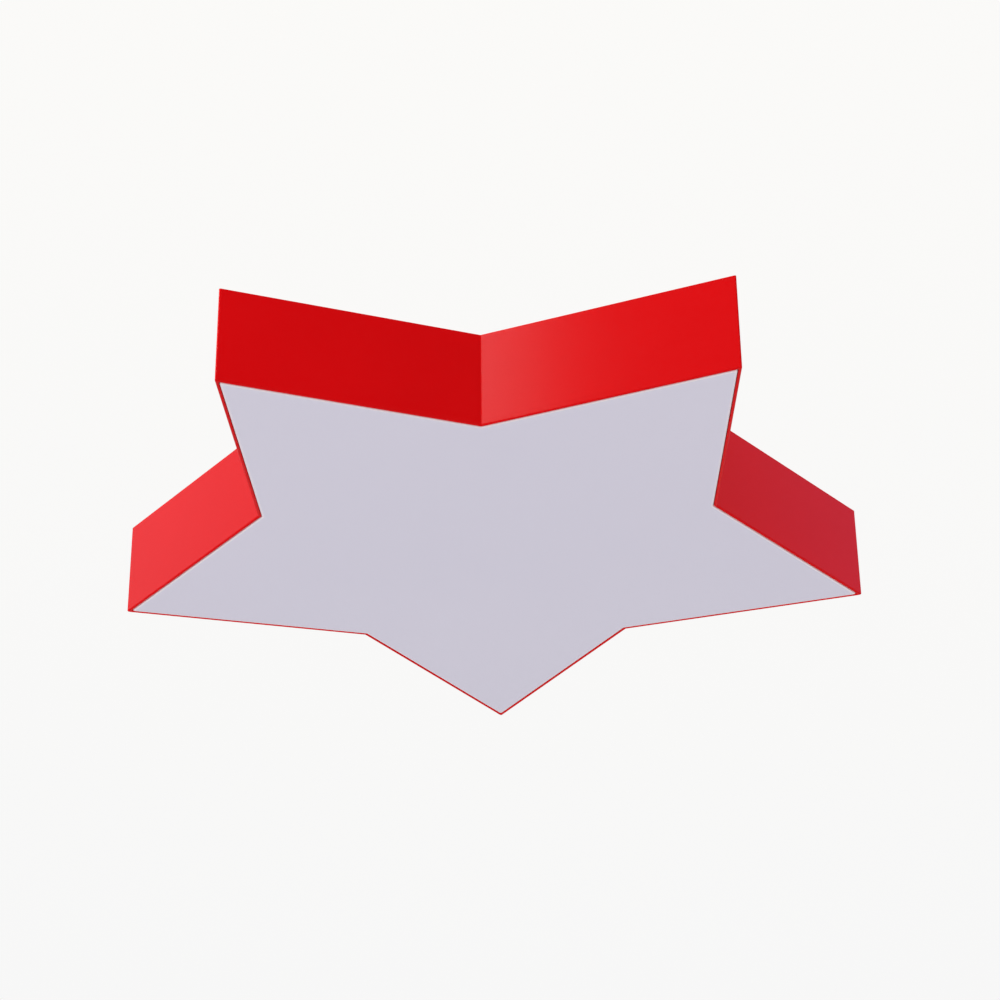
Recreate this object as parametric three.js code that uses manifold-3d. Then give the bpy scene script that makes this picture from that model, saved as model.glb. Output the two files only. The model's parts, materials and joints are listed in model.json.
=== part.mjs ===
// A five-pointed star ceiling light, in millimetres, +Z up.
// The origin is the middle of the ceiling mount: z = 0 is the ceiling, and the light hangs below it.
import * as THREE from 'three';
import { mergeVertices } from 'three/addons/utils/BufferGeometryUtils.js';
import Module from 'manifold-3d';

const wasm = await Module();
wasm.setup();

// Overall sizes
const TIP_RADIUS = 263;               // centre to each of the five tips, outside the band
const NOTCH_RADIUS = 154;             // centre to each of the five inner corners, outside the band
const BODY_DEPTH = 65;                // ceiling to the lower edge
const POINTS = 5;

// Clearances
const GAP = 0.3;                      // between pieces that touch
const DIFFUSER_GAP = 0.4;             // running gap between the band's hem and the diffuser

// Sheet-metal band
const BAND_THICKNESS = 1;
const HEM_HEIGHT = 8;                 // folded-in lower edge, pressed flat on the band

// Diffuser
const PANEL_THICKNESS = 3;
const SKIRT_THICKNESS = 2.5;
const SKIRT_HEIGHT = 18;

// Back plate
const PLATE_THICKNESS = 1;
const PLATE_TOP = -12.5;              // recess that holds the ceiling bracket
const PLATE_BAND_GAP = 2;             // between the band's inside and the plate's flange
const FLANGE_DEPTH = 8;

// Brackets that join the band to the back plate, one at each inner corner
const CORNER_THICKNESS = 1.2;
const CORNER_WIDTH = 30;
const CORNER_REACH = 17;
const CORNER_SCREW_INSET = 9;         // screw to the inner corner of the band
const CORNER_TOP = -2;                // upper edge of the bracket's upright

// Ceiling bracket
const STRAP_LENGTH = 190;
const STRAP_WIDTH = 25;
const STRAP_THICKNESS = 1.5;
const STRAP_DROP = 5;                 // how far its ends are joggled down
const STRAP_FLAT = 100;               // length of the middle that meets the ceiling
const STRAP_JOGGLE = 6;               // length of each joggle
const SLOT_WIDTH = 5;
const SLOT_START = 16;
const SLOT_END = 42;
const BOLT_SPACING = 150;
const BOLT_RADIUS = 2;
const BOLT_HEAD_RADIUS = 4;
const BOLT_HEAD_HEIGHT = 1.8;
const LOCK_NUT_RADIUS = 4.04;         // across the corners
const LOCK_NUT_HEIGHT = 3.2;
const CAP_NUT_RADIUS = 8;
const CAP_NUT_HEIGHT = 8;
const CAP_NUT_DOME = 3.5;
const CAP_NUT_TEETH = 24;
const KNURL_DEPTH = 0.6;

// Screws
const SCREW_RADIUS = 1.6;
const SCREW_HEAD_RADIUS = 3.2;
const SCREW_HEAD_HEIGHT = 1.9;
const SCREW_REACH = 3;                // how far a tip stands above the back plate
const PAN_FLAT = 0.6;                 // flat top of a pan head, as a share of its radius
const PAN_EDGE = 0.45;                // straight edge of a pan head, as a share of its height

// Cable grommet
const GROMMET_PLACE = [-36, 34];
const GROMMET_BORE = 4;
const GROMMET_NECK = 6.5;
const GROMMET_RADIUS = 9;             // lower lip
const GROMMET_TOP_RADIUS = 8.5;       // upper lip, which is pushed through the plate
const GROMMET_LIP = 1.6;
const GROMMET_CHAMFER = 1;

// LED strips, one down each arm
const STRIP_START = 72;               // inner end to the centre
const STRIP_TIP_MARGIN = 12;          // outer end to the flange inside the tip
const STRIP_WIDTH = 12;
const STRIP_THICKNESS = 1.5;

// LED driver
const DRIVER_SIZE = [100, 36, 22];
const DRIVER_Y = -12;
const DRIVER_CORNER = 3;
const EAR_LENGTH = 10;
const EAR_WIDTH = 16;
const EAR_THICKNESS = 2;
const DRIVER_WIRES = [5, -4];         // the two wires at each end, from the driver's centre line

// Terminal block and earth tag
const TERMINAL_SIZE = [18, 24, 14];
const TERMINAL_PLACE = [0, 38];
const TERMINAL_POLES = 3;
const TERMINAL_GROOVE = 1.6;
const TERMINAL_GROOVE_DEPTH = 5;
const EARTH_PLACE = [36, 30];
const TAG_RADIUS = 4.4;
const TAG_THICKNESS = 0.8;
const BARREL_LENGTH = 7;              // neck and crimp together
const BARREL_NECK = 2;                // flat neck between the ring and the crimp
const BARREL_RADIUS = 1.7;

// Leads
const MAINS_LEAD = 2.4;
const DC_LEAD = 1.8;
const LEAD_SIDES = 8;
const LEAD_STEP = 3;                  // length of each straight stretch, in diameters
const LEAD_END_GAP = 0.5;             // between a lead's end and what it is fixed in
const LEAD_REST = 0.4;                // between a lead that lies along the plate and the plate
const JUMPER_START = 8;               // strip's inner end to the jumper on its side
const JUMPER_PAST_BOLT = 5;           // how much further out than the cap nuts a jumper starts, at least
const JUMPER_LOOP = 6;                // how far a jumper stands out before it turns
const JUMPER_CLEARANCE = 12;          // cap nut to the bow of a jumper

// Spring clips
const CLIP_WIDTH = 10;
const CLIP_THICKNESS = 0.5;
const CLIP_FOOT = 12;
const CLIP_BEND_INSET = 13;           // bend line to the skirt's inside
const CLIP_TAIL = 3.5;                // how far the leaf's end curls back in
const CLIP_PANEL_GAP = 4;             // leaf's end to the panel
const CLIP_BEND = [2, 1.6];           // end of the tight bend, outwards and down from the bend line
const CLIP_DROP = [3.2, 6];           // end of the upright stretch below the bend

const CUT_PAST = 1;                   // how far a cutting tool runs past the face that it cuts

const red = [0xd2120f, 0.35, 0.1];
const white = [0xf2f1ee, 0.4, 0.1];
const zinc = [0xb9bcc0, 0.38, 0.9];
const nickel = [0xd4d2cc, 0.22, 1];
const spring = [0x8d9096, 0.3, 1];
const opal = [0xe6e3ec, 0.45, 0];
const board = [0xeceeee, 0.4, 0.3];
const driverPlastic = [0xe9e8e3, 0.5, 0];
const terminalPlastic = [0xf3f1e8, 0.45, 0];
const rubber = [0x1c1c1e, 0.8, 0];
const brown = [0x5f3522, 0.5, 0];
const blue = [0x2350a8, 0.5, 0];
const greenYellow = [0x8fae1f, 0.5, 0];
const redLead = [0xb81e1e, 0.5, 0];
const blackLead = [0x202022, 0.5, 0];

// The ten walls all lie at one distance from the centre, so an offset star is a scaled star.
const cornerStep = Math.PI / POINTS;
const wallLength = Math.hypot(
  TIP_RADIUS - NOTCH_RADIUS * Math.cos(cornerStep),
  NOTCH_RADIUS * Math.sin(cornerStep),
);
const wallDistance = (TIP_RADIUS * NOTCH_RADIUS * Math.sin(cornerStep)) / wallLength;
const tipHalfAngle = Math.asin(wallDistance / TIP_RADIUS);

const lowerEdge = -BODY_DEPTH;
const plateBottom = PLATE_TOP - PLATE_THICKNESS;
const underPlate = plateBottom - GAP;
const hemInset = 2 * BAND_THICKNESS;
const diffuserInset = hemInset + DIFFUSER_GAP;
const skirtInside = diffuserInset + SKIRT_THICKNESS;
const flangeInset = BAND_THICKNESS + PLATE_BAND_GAP;
const panelTop = lowerEdge + PANEL_THICKNESS;
const skirtTop = panelTop + GAP + SKIRT_HEIGHT;
const holeRadius = SCREW_RADIUS + GAP;

function insetRadius(radius, inset) {
  return radius * (1 - inset / wallDistance);
}

// A point at a distance and an angle that is counted anticlockwise from +Y.
function polar(radius, angle) {
  return new THREE.Vector2(-radius * Math.sin(angle), radius * Math.cos(angle));
}

// Solids

function solidOf(geometry) {
  const bare = geometry.clone();
  bare.deleteAttribute('normal');
  bare.deleteAttribute('uv');
  const merged = mergeVertices(bare, 1e-4);
  return new wasm.Manifold(new wasm.Mesh({
    numProp: 3,
    vertProperties: merged.attributes.position.array,
    triVerts: new Uint32Array(merged.index.array),
  }));
}

function geometryOf(solid) {
  const { vertProperties, triVerts } = solid.getMesh();
  const geometry = new THREE.BufferGeometry();
  geometry.setAttribute('position', new THREE.BufferAttribute(vertProperties, 3));
  geometry.setIndex(new THREE.BufferAttribute(triVerts, 1));
  const shaded = geometry.toNonIndexed();
  shaded.computeVertexNormals();
  return shaded;
}

function join(...geometries) {
  return geometryOf(geometries.map(solidOf).reduce((all, one) => all.add(one)));
}

function cut(geometry, ...tools) {
  return geometryOf(tools.map(solidOf).reduce((left, tool) => left.subtract(tool), solidOf(geometry)));
}

function common(a, b) {
  return geometryOf(solidOf(a).intersect(solidOf(b)));
}

function prism(shape, bottom, top, curveSegments = 6) {
  const options = { depth: top - bottom, bevelEnabled: false, curveSegments };
  return new THREE.ExtrudeGeometry(shape, options).translate(0, 0, bottom);
}

function box(width, length, bottom, top, x = 0, y = 0) {
  return new THREE.BoxGeometry(width, length, top - bottom).translate(x, y, (bottom + top) / 2);
}

function rod(radius, bottom, top, x = 0, y = 0, sides = 16) {
  const upright = new THREE.CylinderGeometry(radius, radius, top - bottom, sides).rotateX(Math.PI / 2);
  return upright.translate(x, y, (bottom + top) / 2);
}

// A solid of revolution about Z from its [radius, z] points, which run upwards.
function turned(points, segments = 16) {
  const profile = points.map(([radius, z]) => new THREE.Vector2(radius, z));
  return new THREE.LatheGeometry(profile, segments).rotateX(Math.PI / 2);
}

// The outline of a thin strip of even thickness along a line of points.
function ribbonShape(points, thickness) {
  const offset = (side) => points.map((point, i) => {
    const before = points[Math.max(i - 1, 0)];
    const after = points[Math.min(i + 1, points.length - 1)];
    const inward = point.clone().sub(before).normalize();
    const outward = after.clone().sub(point).normalize();
    const along = inward.clone().add(outward).normalize();
    const stretch = i === 0 || i === points.length - 1 ? 1 : along.dot(outward);
    const normal = new THREE.Vector2(-along.y, along.x);
    return point.clone().addScaledVector(normal, (side * thickness) / 2 / stretch);
  });
  return new THREE.Shape([...offset(-1), ...offset(1).reverse()]);
}

// Turns a shape drawn in (y, z) and extruded over a width so that the width lies along X.
function acrossX(shape, width) {
  const turn = new THREE.Matrix4().makeBasis(
    new THREE.Vector3(0, 1, 0),
    new THREE.Vector3(0, 0, 1),
    new THREE.Vector3(1, 0, 0),
  );
  return prism(shape, -width / 2, width / 2).applyMatrix4(turn);
}

// Turns a shape drawn in (x, z) and extruded over a width so that the width lies along Y.
function acrossY(shape, width) {
  const turn = new THREE.Matrix4().makeBasis(
    new THREE.Vector3(1, 0, 0),
    new THREE.Vector3(0, 0, 1),
    new THREE.Vector3(0, -1, 0),
  );
  return prism(shape, -width / 2, width / 2).applyMatrix4(turn);
}

function starShape(inset) {
  const corners = [];
  for (let i = 0; i < 2 * POINTS; i += 1) {
    const radius = i % 2 === 0 ? TIP_RADIUS : NOTCH_RADIUS;
    corners.push(polar(insetRadius(radius, inset), i * cornerStep));
  }
  return new THREE.Shape(corners);
}

function starRing(outerInset, innerInset, bottom, top) {
  const ring = starShape(outerInset);
  ring.holes.push(new THREE.Path(starShape(innerInset).getPoints()));
  return prism(ring, bottom, top);
}

// Placing

const light = new THREE.Group();

function place(name, geometry, [color, roughness, metalness], parent = light, position = [0, 0, 0]) {
  const material = new THREE.MeshStandardMaterial({ color, roughness, metalness });
  const mesh = new THREE.Mesh(geometry, material);
  mesh.name = name;
  mesh.position.set(...position);
  parent.add(mesh);
  return mesh;
}

// A group turned about Z, so that its +Y points along the angle counted anticlockwise from +Y.
function turnedGroup(angle, parent = light) {
  const group = new THREE.Group();
  group.rotation.z = angle;
  parent.add(group);
  return group;
}

// Band and diffuser

function starBand() {
  const wall = starRing(0, BAND_THICKNESS, lowerEdge, 0);
  const hem = starRing(BAND_THICKNESS / 2, hemInset, lowerEdge, lowerEdge + HEM_HEIGHT);
  return join(wall, hem);
}

place('star_band', starBand(), red);
place('diffuser_panel', prism(starShape(diffuserInset), lowerEdge, panelTop), opal);
place('diffuser_skirt', starRing(diffuserInset, skirtInside, panelTop + GAP, skirtTop), opal);

// Back plate

const boltX = BOLT_SPACING / 2;
const earHoleX = DRIVER_SIZE[0] / 2 + EAR_LENGTH / 2;
const cornerScrewRadius = insetRadius(NOTCH_RADIUS, BAND_THICKNESS) - CORNER_SCREW_INSET;
const stripEnd = insetRadius(TIP_RADIUS, flangeInset + PLATE_THICKNESS) - STRIP_TIP_MARGIN
  - STRIP_WIDTH / 2 / Math.tan(tipHalfAngle);
const stripScrewRadius = (STRIP_START + stripEnd) / 2;

function plateHole(x, y, radius = holeRadius, sides = 12) {
  return rod(radius, plateBottom - CUT_PAST, PLATE_TOP + CUT_PAST, x, y, sides);
}

function backPlate() {
  const sheet = prism(starShape(flangeInset), plateBottom, PLATE_TOP);
  const flange = starRing(
    flangeInset,
    flangeInset + PLATE_THICKNESS,
    plateBottom - FLANGE_DEPTH,
    plateBottom + PLATE_THICKNESS / 2,
  );
  const holes = [
    plateHole(...GROMMET_PLACE, GROMMET_NECK + GAP, 24),
    plateHole(...TERMINAL_PLACE),
    plateHole(...EARTH_PLACE),
  ];
  for (const side of [-1, 1]) {
    holes.push(plateHole(side * boltX, 0, BOLT_RADIUS + 2 * GAP));
    holes.push(plateHole(side * earHoleX, DRIVER_Y));
  }
  for (let i = 0; i < POINTS; i += 1) {
    const corner = polar(cornerScrewRadius, (2 * i - 1) * cornerStep);
    const strip = polar(stripScrewRadius, 2 * i * cornerStep);
    holes.push(plateHole(corner.x, corner.y), plateHole(strip.x, strip.y));
  }
  return cut(join(sheet, flange), ...holes);
}

place('back_plate', backPlate(), white);

// A pan-head screw with its head down: z = 0 is the seat, and the tip is up.
function panScrew(length) {
  return turned([
    [0, -SCREW_HEAD_HEIGHT],
    [PAN_FLAT * SCREW_HEAD_RADIUS, -SCREW_HEAD_HEIGHT],
    [SCREW_HEAD_RADIUS, -PAN_EDGE * SCREW_HEAD_HEIGHT],
    [SCREW_HEAD_RADIUS, 0],
    [SCREW_RADIUS, 0],
    [SCREW_RADIUS, length - SCREW_RADIUS],
    [0, length],
  ], 12);
}

// A screw that goes up through the back plate from a seat at the given height.
function placeScrew(name, seat, parent, x, y) {
  const length = PLATE_TOP + SCREW_REACH - seat;
  place(name, panScrew(length), zinc, parent, [x, y, seat]);
}

// Corner brackets, seen along the radius through their corner as +Y

function cornerBracket() {
  const leg = PLATE_TOP + GAP;
  const outside = BAND_THICKNESS + GAP;
  const upright = starRing(outside, outside + CORNER_THICKNESS, leg, CORNER_TOP);
  const foot = prism(starShape(outside), leg, leg + CORNER_THICKNESS);
  const cornerRadius = insetRadius(NOTCH_RADIUS, outside);
  const nearEnd = cornerRadius - CORNER_REACH;
  const farEnd = cornerRadius + CORNER_WIDTH;
  const window = box(CORNER_WIDTH, farEnd - nearEnd, -BODY_DEPTH, BODY_DEPTH, 0, (nearEnd + farEnd) / 2);
  const footWindow = box(
    CORNER_WIDTH, CORNER_REACH + CORNER_THICKNESS, -BODY_DEPTH, BODY_DEPTH,
    0, nearEnd + (CORNER_REACH + CORNER_THICKNESS) / 2,
  );
  const turnedUpright = upright.rotateZ(cornerStep);
  const turnedFoot = foot.rotateZ(cornerStep);
  const blank = join(common(turnedUpright, window), common(turnedFoot, footWindow));
  const holeTop = leg + CORNER_THICKNESS + CUT_PAST;
  return cut(blank, rod(holeRadius, leg - CUT_PAST, holeTop, 0, cornerScrewRadius, 12));
}

for (let i = 0; i < POINTS; i += 1) {
  const corner = turnedGroup((2 * i - 1) * cornerStep);
  place(`corner_bracket_${i + 1}`, cornerBracket(), zinc, corner);
  placeScrew(`corner_screw_${i + 1}`, underPlate, corner, 0, cornerScrewRadius);
}

// Ceiling bracket with its bolts and nuts

const strapEndTop = -STRAP_DROP;
const strapEndBottom = strapEndTop - STRAP_THICKNESS;

function slotShape() {
  const slot = new THREE.Shape();
  const round = SLOT_WIDTH / 2;
  slot.absarc(SLOT_END - round, 0, round, -Math.PI / 2, Math.PI / 2);
  slot.absarc(SLOT_START + round, 0, round, Math.PI / 2, (3 * Math.PI) / 2);
  return slot;
}

function ceilingBracket() {
  const half = STRAP_THICKNESS / 2;
  const bends = [
    [STRAP_LENGTH / 2, strapEndTop - half],
    [STRAP_FLAT / 2 + STRAP_JOGGLE, strapEndTop - half],
    [STRAP_FLAT / 2, -half],
  ];
  const right = bends.map(([x, z]) => new THREE.Vector2(x, z));
  const left = right.map((point) => new THREE.Vector2(-point.x, point.y));
  const strap = acrossY(ribbonShape([...left, ...right.reverse()], STRAP_THICKNESS), STRAP_WIDTH);
  const slot = prism(slotShape(), -STRAP_THICKNESS - CUT_PAST, CUT_PAST);
  const otherSlot = slot.clone().rotateZ(Math.PI);
  const boltHoles = [-boltX, boltX].map(
    (x) => rod(BOLT_RADIUS + GAP, strapEndBottom - CUT_PAST, strapEndTop + CUT_PAST, x, 0, 12),
  );
  return cut(strap, slot, otherSlot, ...boltHoles);
}

function hexagon(radius, bottom, top) {
  return rod(radius, bottom, top, 0, 0, 6);
}

const capNutSeat = underPlate;
const boltTip = capNutSeat - CAP_NUT_HEIGHT - CAP_NUT_DOME / 2;

function bracketBolt() {
  const seat = strapEndTop + GAP;
  const head = hexagon(BOLT_HEAD_RADIUS, seat, seat + BOLT_HEAD_HEIGHT);
  return join(head, rod(BOLT_RADIUS, boltTip, seat + BOLT_HEAD_HEIGHT / 2));
}

function lockNut() {
  const top = strapEndBottom - GAP;
  const bore = rod(BOLT_RADIUS + GAP, top - LOCK_NUT_HEIGHT - CUT_PAST, top + CUT_PAST);
  return cut(hexagon(LOCK_NUT_RADIUS, top - LOCK_NUT_HEIGHT, top), bore);
}

function capNut() {
  const outline = [];
  for (let i = 0; i < 2 * CAP_NUT_TEETH; i += 1) {
    const radius = CAP_NUT_RADIUS - (i % 2) * KNURL_DEPTH;
    outline.push(polar(radius, (i * Math.PI) / CAP_NUT_TEETH));
  }
  const knurled = prism(new THREE.Shape(outline), -CAP_NUT_HEIGHT, 0);
  const domeRadius = CAP_NUT_RADIUS - 2 * KNURL_DEPTH;
  const arc = [0, 1, 2, 3].map((step) => {
    const turn = (step * Math.PI) / 6;
    return [domeRadius * Math.sin(turn), -CAP_NUT_HEIGHT - CAP_NUT_DOME * Math.cos(turn)];
  });
  const dome = turned([...arc, [domeRadius, -CAP_NUT_HEIGHT / 2], [0, -CAP_NUT_HEIGHT / 2]], 24);
  const bore = rod(BOLT_RADIUS + GAP, boltTip - GAP - capNutSeat, CUT_PAST);
  return cut(join(knurled, dome), bore);
}

place('ceiling_bracket', ceilingBracket(), zinc);
[-boltX, boltX].forEach((x, i) => {
  place(`bracket_bolt_${i + 1}`, bracketBolt(), zinc, light, [x, 0, 0]);
  place(`lock_nut_${i + 1}`, lockNut(), zinc, light, [x, 0, 0]);
  place(`cap_nut_${i + 1}`, capNut(), nickel, light, [x, 0, capNutSeat]);
});

// Cable grommet: a groove round its neck holds the edge of the plate's hole

function cableGrommet() {
  const bottom = underPlate - GROMMET_LIP;
  const top = PLATE_TOP + GAP + GROMMET_LIP;
  return turned([
    [GROMMET_BORE, bottom],
    [GROMMET_RADIUS - GROMMET_CHAMFER, bottom],
    [GROMMET_RADIUS, underPlate],
    [GROMMET_NECK, underPlate],
    [GROMMET_NECK, PLATE_TOP + GAP],
    [GROMMET_TOP_RADIUS, PLATE_TOP + GAP],
    [GROMMET_TOP_RADIUS - GROMMET_CHAMFER, top],
    [GROMMET_BORE, top],
    [GROMMET_BORE, bottom],
  ], 24);
}

place('cable_grommet', cableGrommet(), rubber, light, [...GROMMET_PLACE, 0]);

// LED strips, seen along their arm as +Y

const stripBottom = underPlate - STRIP_THICKNESS;

function ledStrip() {
  const length = stripEnd - STRIP_START;
  const blank = box(STRIP_WIDTH, length, stripBottom, underPlate, 0, (STRIP_START + stripEnd) / 2);
  const holeBottom = stripBottom - CUT_PAST;
  return cut(blank, rod(holeRadius, holeBottom, underPlate + CUT_PAST, 0, stripScrewRadius, 12));
}

// LED driver and terminal block

function roundedBox(width, length, bottom, top, corner) {
  const outline = new THREE.Shape();
  const x = width / 2 - corner;
  const y = length / 2 - corner;
  outline.absarc(x, y, corner, 0, Math.PI / 2);
  outline.absarc(-x, y, corner, Math.PI / 2, Math.PI);
  outline.absarc(-x, -y, corner, Math.PI, 1.5 * Math.PI);
  outline.absarc(x, -y, corner, 1.5 * Math.PI, 2 * Math.PI);
  return prism(outline, bottom, top, 4);
}

function ledDriver() {
  const [width, length, height] = DRIVER_SIZE;
  const body = roundedBox(width, length, underPlate - height, underPlate, DRIVER_CORNER);
  const ears = box(width + 2 * EAR_LENGTH, EAR_WIDTH, underPlate - EAR_THICKNESS, underPlate);
  const holeBottom = underPlate - EAR_THICKNESS - CUT_PAST;
  const holes = [-earHoleX, earHoleX].map(
    (x) => rod(holeRadius, holeBottom, underPlate + CUT_PAST, x, 0, 12),
  );
  return cut(join(body, ears), ...holes);
}

const terminalSeat = underPlate - TERMINAL_SIZE[2] / 2;

function terminalBlock() {
  const [width, length, height] = TERMINAL_SIZE;
  const bottom = underPlate - height;
  const grooves = [];
  for (let i = 1; i < TERMINAL_POLES; i += 1) {
    const y = -length / 2 + (i * length) / TERMINAL_POLES;
    const grooveTop = bottom + TERMINAL_GROOVE_DEPTH;
    grooves.push(box(width + 2 * CUT_PAST, TERMINAL_GROOVE, bottom - CUT_PAST, grooveTop, 0, y));
  }
  const well = rod(SCREW_HEAD_RADIUS + GAP, bottom - CUT_PAST, terminalSeat - GAP);
  const hole = rod(holeRadius, bottom - CUT_PAST, underPlate + CUT_PAST, 0, 0, 12);
  return cut(box(width, length, bottom, underPlate), ...grooves, well, hole);
}

place('led_driver', ledDriver(), driverPlastic, light, [0, DRIVER_Y, 0]);
place('terminal_block', terminalBlock(), terminalPlastic, light, [...TERMINAL_PLACE, 0]);
[-earHoleX, earHoleX].forEach((x, i) => {
  placeScrew(`driver_screw_${i + 1}`, underPlate - EAR_THICKNESS - GAP, light, x, DRIVER_Y);
});
placeScrew('terminal_screw', terminalSeat - 2 * GAP, light, ...TERMINAL_PLACE);

// Earth tag: a flat ring with a crimped barrel towards the terminal block

function earthTag() {
  const bottom = underPlate - TAG_THICKNESS;
  const ring = rod(TAG_RADIUS, bottom, underPlate, 0, 0, 20);
  const neck = box(BARREL_LENGTH, 2 * BARREL_RADIUS, bottom, underPlate, -TAG_RADIUS - BARREL_NECK / 2, 0);
  const crimp = BARREL_LENGTH - BARREL_NECK;
  const barrel = new THREE.CylinderGeometry(BARREL_RADIUS, BARREL_RADIUS, crimp, 12)
    .rotateZ(Math.PI / 2)
    .translate(-TAG_RADIUS - BARREL_LENGTH / 2, 0, underPlate - BARREL_RADIUS);
  const hole = rod(holeRadius, bottom - CUT_PAST, underPlate + CUT_PAST, 0, 0, 12);
  return cut(join(ring, neck, barrel), hole);
}

place('earth_tag', earthTag(), zinc, light, [...EARTH_PLACE, 0]);
placeScrew('earth_screw', underPlate - TAG_THICKNESS - GAP, light, ...EARTH_PLACE);

// Leads. A route's points are [x, y, drop below the back plate].

function lead(points, diameter) {
  const places = points.map(([x, y, drop]) => new THREE.Vector3(x, y, plateBottom - drop));
  const path = new THREE.CatmullRomCurve3(places, false, 'centripetal');
  const section = new THREE.Shape();
  for (let i = 0; i < LEAD_SIDES; i += 1) {
    const corner = polar(diameter / 2, (2 * Math.PI * i) / LEAD_SIDES);
    if (i === 0) section.moveTo(corner.x, corner.y);
    else section.lineTo(corner.x, corner.y);
  }
  section.closePath();
  const steps = Math.ceil(path.getLength() / (LEAD_STEP * diameter));
  return new THREE.ExtrudeGeometry(section, { steps, bevelEnabled: false, extrudePath: path });
}

const terminalFace = TERMINAL_PLACE[0] + TERMINAL_SIZE[0] / 2 + LEAD_END_GAP;
const driverFace = DRIVER_SIZE[0] / 2 + LEAD_END_GAP;
const poleY = (pole) => TERMINAL_PLACE[1] + (1 - pole) * (TERMINAL_SIZE[1] / TERMINAL_POLES);
const [nearWire, farWire] = DRIVER_WIRES.map((offset) => DRIVER_Y + offset);
const barrelEnd = EARTH_PLACE[0] - TAG_RADIUS - BARREL_LENGTH + BARREL_NECK / 2 - LEAD_END_GAP;

const liveRoute = [
  [terminalFace, poleY(0), 6],
  [18, poleY(0), 5],
  [38, 46, 2.2],
  [52, 36, 2],
  [59, 20, 3],
  [62, 2, 8],
  [59, farWire + 2, 11],
  [driverFace, farWire, 11],
];
const neutralRoute = [
  [terminalFace, poleY(1), 6],
  [17, poleY(1), 5],
  [34, 39.5, 2.2],
  [46, 31, 2],
  [53, 16, 3],
  [57, 1, 8],
  [55, nearWire + 0.5, 10.5],
  [driverFace, nearWire, 11],
];
const earthRoute = [
  [terminalFace, poleY(2), 6],
  [14, poleY(2), 5.2],
  [20, EARTH_PLACE[1], 2.6],
  [barrelEnd, EARTH_PLACE[1], GAP + BARREL_RADIUS],
];
place('live_lead', lead(liveRoute, MAINS_LEAD), brown);
place('neutral_lead', lead(neutralRoute, MAINS_LEAD), blue);
place('earth_lead', lead(earthRoute, MAINS_LEAD), greenYellow);

const dcDrop = LEAD_REST + DC_LEAD / 2;
const armEnd = (arm, distance) => polar(distance, 2 * arm * cornerStep);
const supplyEnd = armEnd(1, STRIP_START - LEAD_END_GAP);
const supplyNear = armEnd(1, STRIP_START - 7);
const returnEnd = armEnd(0, STRIP_START - LEAD_END_GAP);
const supplyRoute = [
  [-driverFace, farWire, 11],
  [-58, farWire + 2, 10],
  [-61.5, -4, 6],
  [-60, 7, 2.5],
  [-59.5, 15, dcDrop],
  [supplyNear.x, supplyNear.y, dcDrop],
  [supplyEnd.x, supplyEnd.y, dcDrop],
];
const returnRoute = [
  [-driverFace, nearWire, 11],
  [-55, nearWire + 1, 10],
  [-56, 1, 6],
  [-54, 12, 2.5],
  [-54, 28, dcDrop],
  [-50, 42, dcDrop],
  [-32, 56, dcDrop],
  [-10, 60, dcDrop],
  [-1.5, 64, dcDrop],
  [returnEnd.x, returnEnd.y, dcDrop],
];
place('led_supply_lead', lead(supplyRoute, DC_LEAD), redLead);
place('led_return_lead', lead(returnRoute, DC_LEAD), blackLead);

// A jumper leaves one strip's side near its inner end and bows out past the cap nuts to the next strip.
const jumperStart = Math.max(STRIP_START + JUMPER_START, boltX + JUMPER_PAST_BOLT);
const jumperBow = boltX + CAP_NUT_RADIUS + JUMPER_CLEARANCE;

function jumperRoute() {
  const side = STRIP_WIDTH / 2 + LEAD_END_GAP;
  const turn = 2 * cornerStep;
  const start = polar(jumperStart, 0).add(new THREE.Vector2(-side, 0));
  const startBend = polar(jumperStart + 1, 0).add(new THREE.Vector2(-side - JUMPER_LOOP, 0));
  const end = start.clone();
  const endBend = startBend.clone();
  for (const point of [end, endBend]) {
    point.x = -point.x;
    point.rotateAround(new THREE.Vector2(), turn);
  }
  const bow = [0.3, 0.5, 0.7].map((share) => polar(jumperBow, share * turn));
  return [start, startBend, ...bow, endBend, end].map((point) => [point.x, point.y, dcDrop]);
}

const jumperColours = [redLead, blackLead, redLead, blackLead];

for (let i = 0; i < POINTS; i += 1) {
  const arm = turnedGroup(2 * i * cornerStep);
  place(`led_strip_${i + 1}`, ledStrip(), board, arm);
  placeScrew(`strip_screw_${i + 1}`, stripBottom - GAP, arm, 0, stripScrewRadius);
  if (i > 0) place(`led_jumper_${i}`, lead(jumperRoute(), DC_LEAD), jumperColours[i - 1], arm);
}

// Spring clips: each is one strip of spring steel, made as a fixed foot and the leaf below the bend.
// Seen with the wall's outward normal as +Y and y = 0 at the skirt's inside.

const bendY = -CLIP_BEND_INSET;
const bendZ = underPlate - CLIP_THICKNESS / 2;

function clipFoot() {
  const foot = box(CLIP_WIDTH, CLIP_FOOT, underPlate - CLIP_THICKNESS, underPlate);
  return foot.translate(0, bendY - GAP - CLIP_FOOT / 2, 0);
}

function clipLeaf() {
  const contact = -GAP - CLIP_THICKNESS / 2;
  const end = panelTop + CLIP_PANEL_GAP;
  const contactZ = (end + skirtTop) / 2;
  const drop = new THREE.Vector2(bendY + CLIP_DROP[0], bendZ - CLIP_DROP[1]);
  const centreLine = new THREE.SplineCurve([
    new THREE.Vector2(bendY + GAP, bendZ),
    new THREE.Vector2(bendY + CLIP_BEND[0], bendZ - CLIP_BEND[1]),
    drop,
    new THREE.Vector2(contact, contactZ).add(drop).multiplyScalar(0.5),
    new THREE.Vector2(contact, contactZ),
    new THREE.Vector2(contact - CLIP_TAIL, end),
  ]);
  return acrossX(ribbonShape(centreLine.getPoints(16), CLIP_THICKNESS), CLIP_WIDTH);
}

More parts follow.
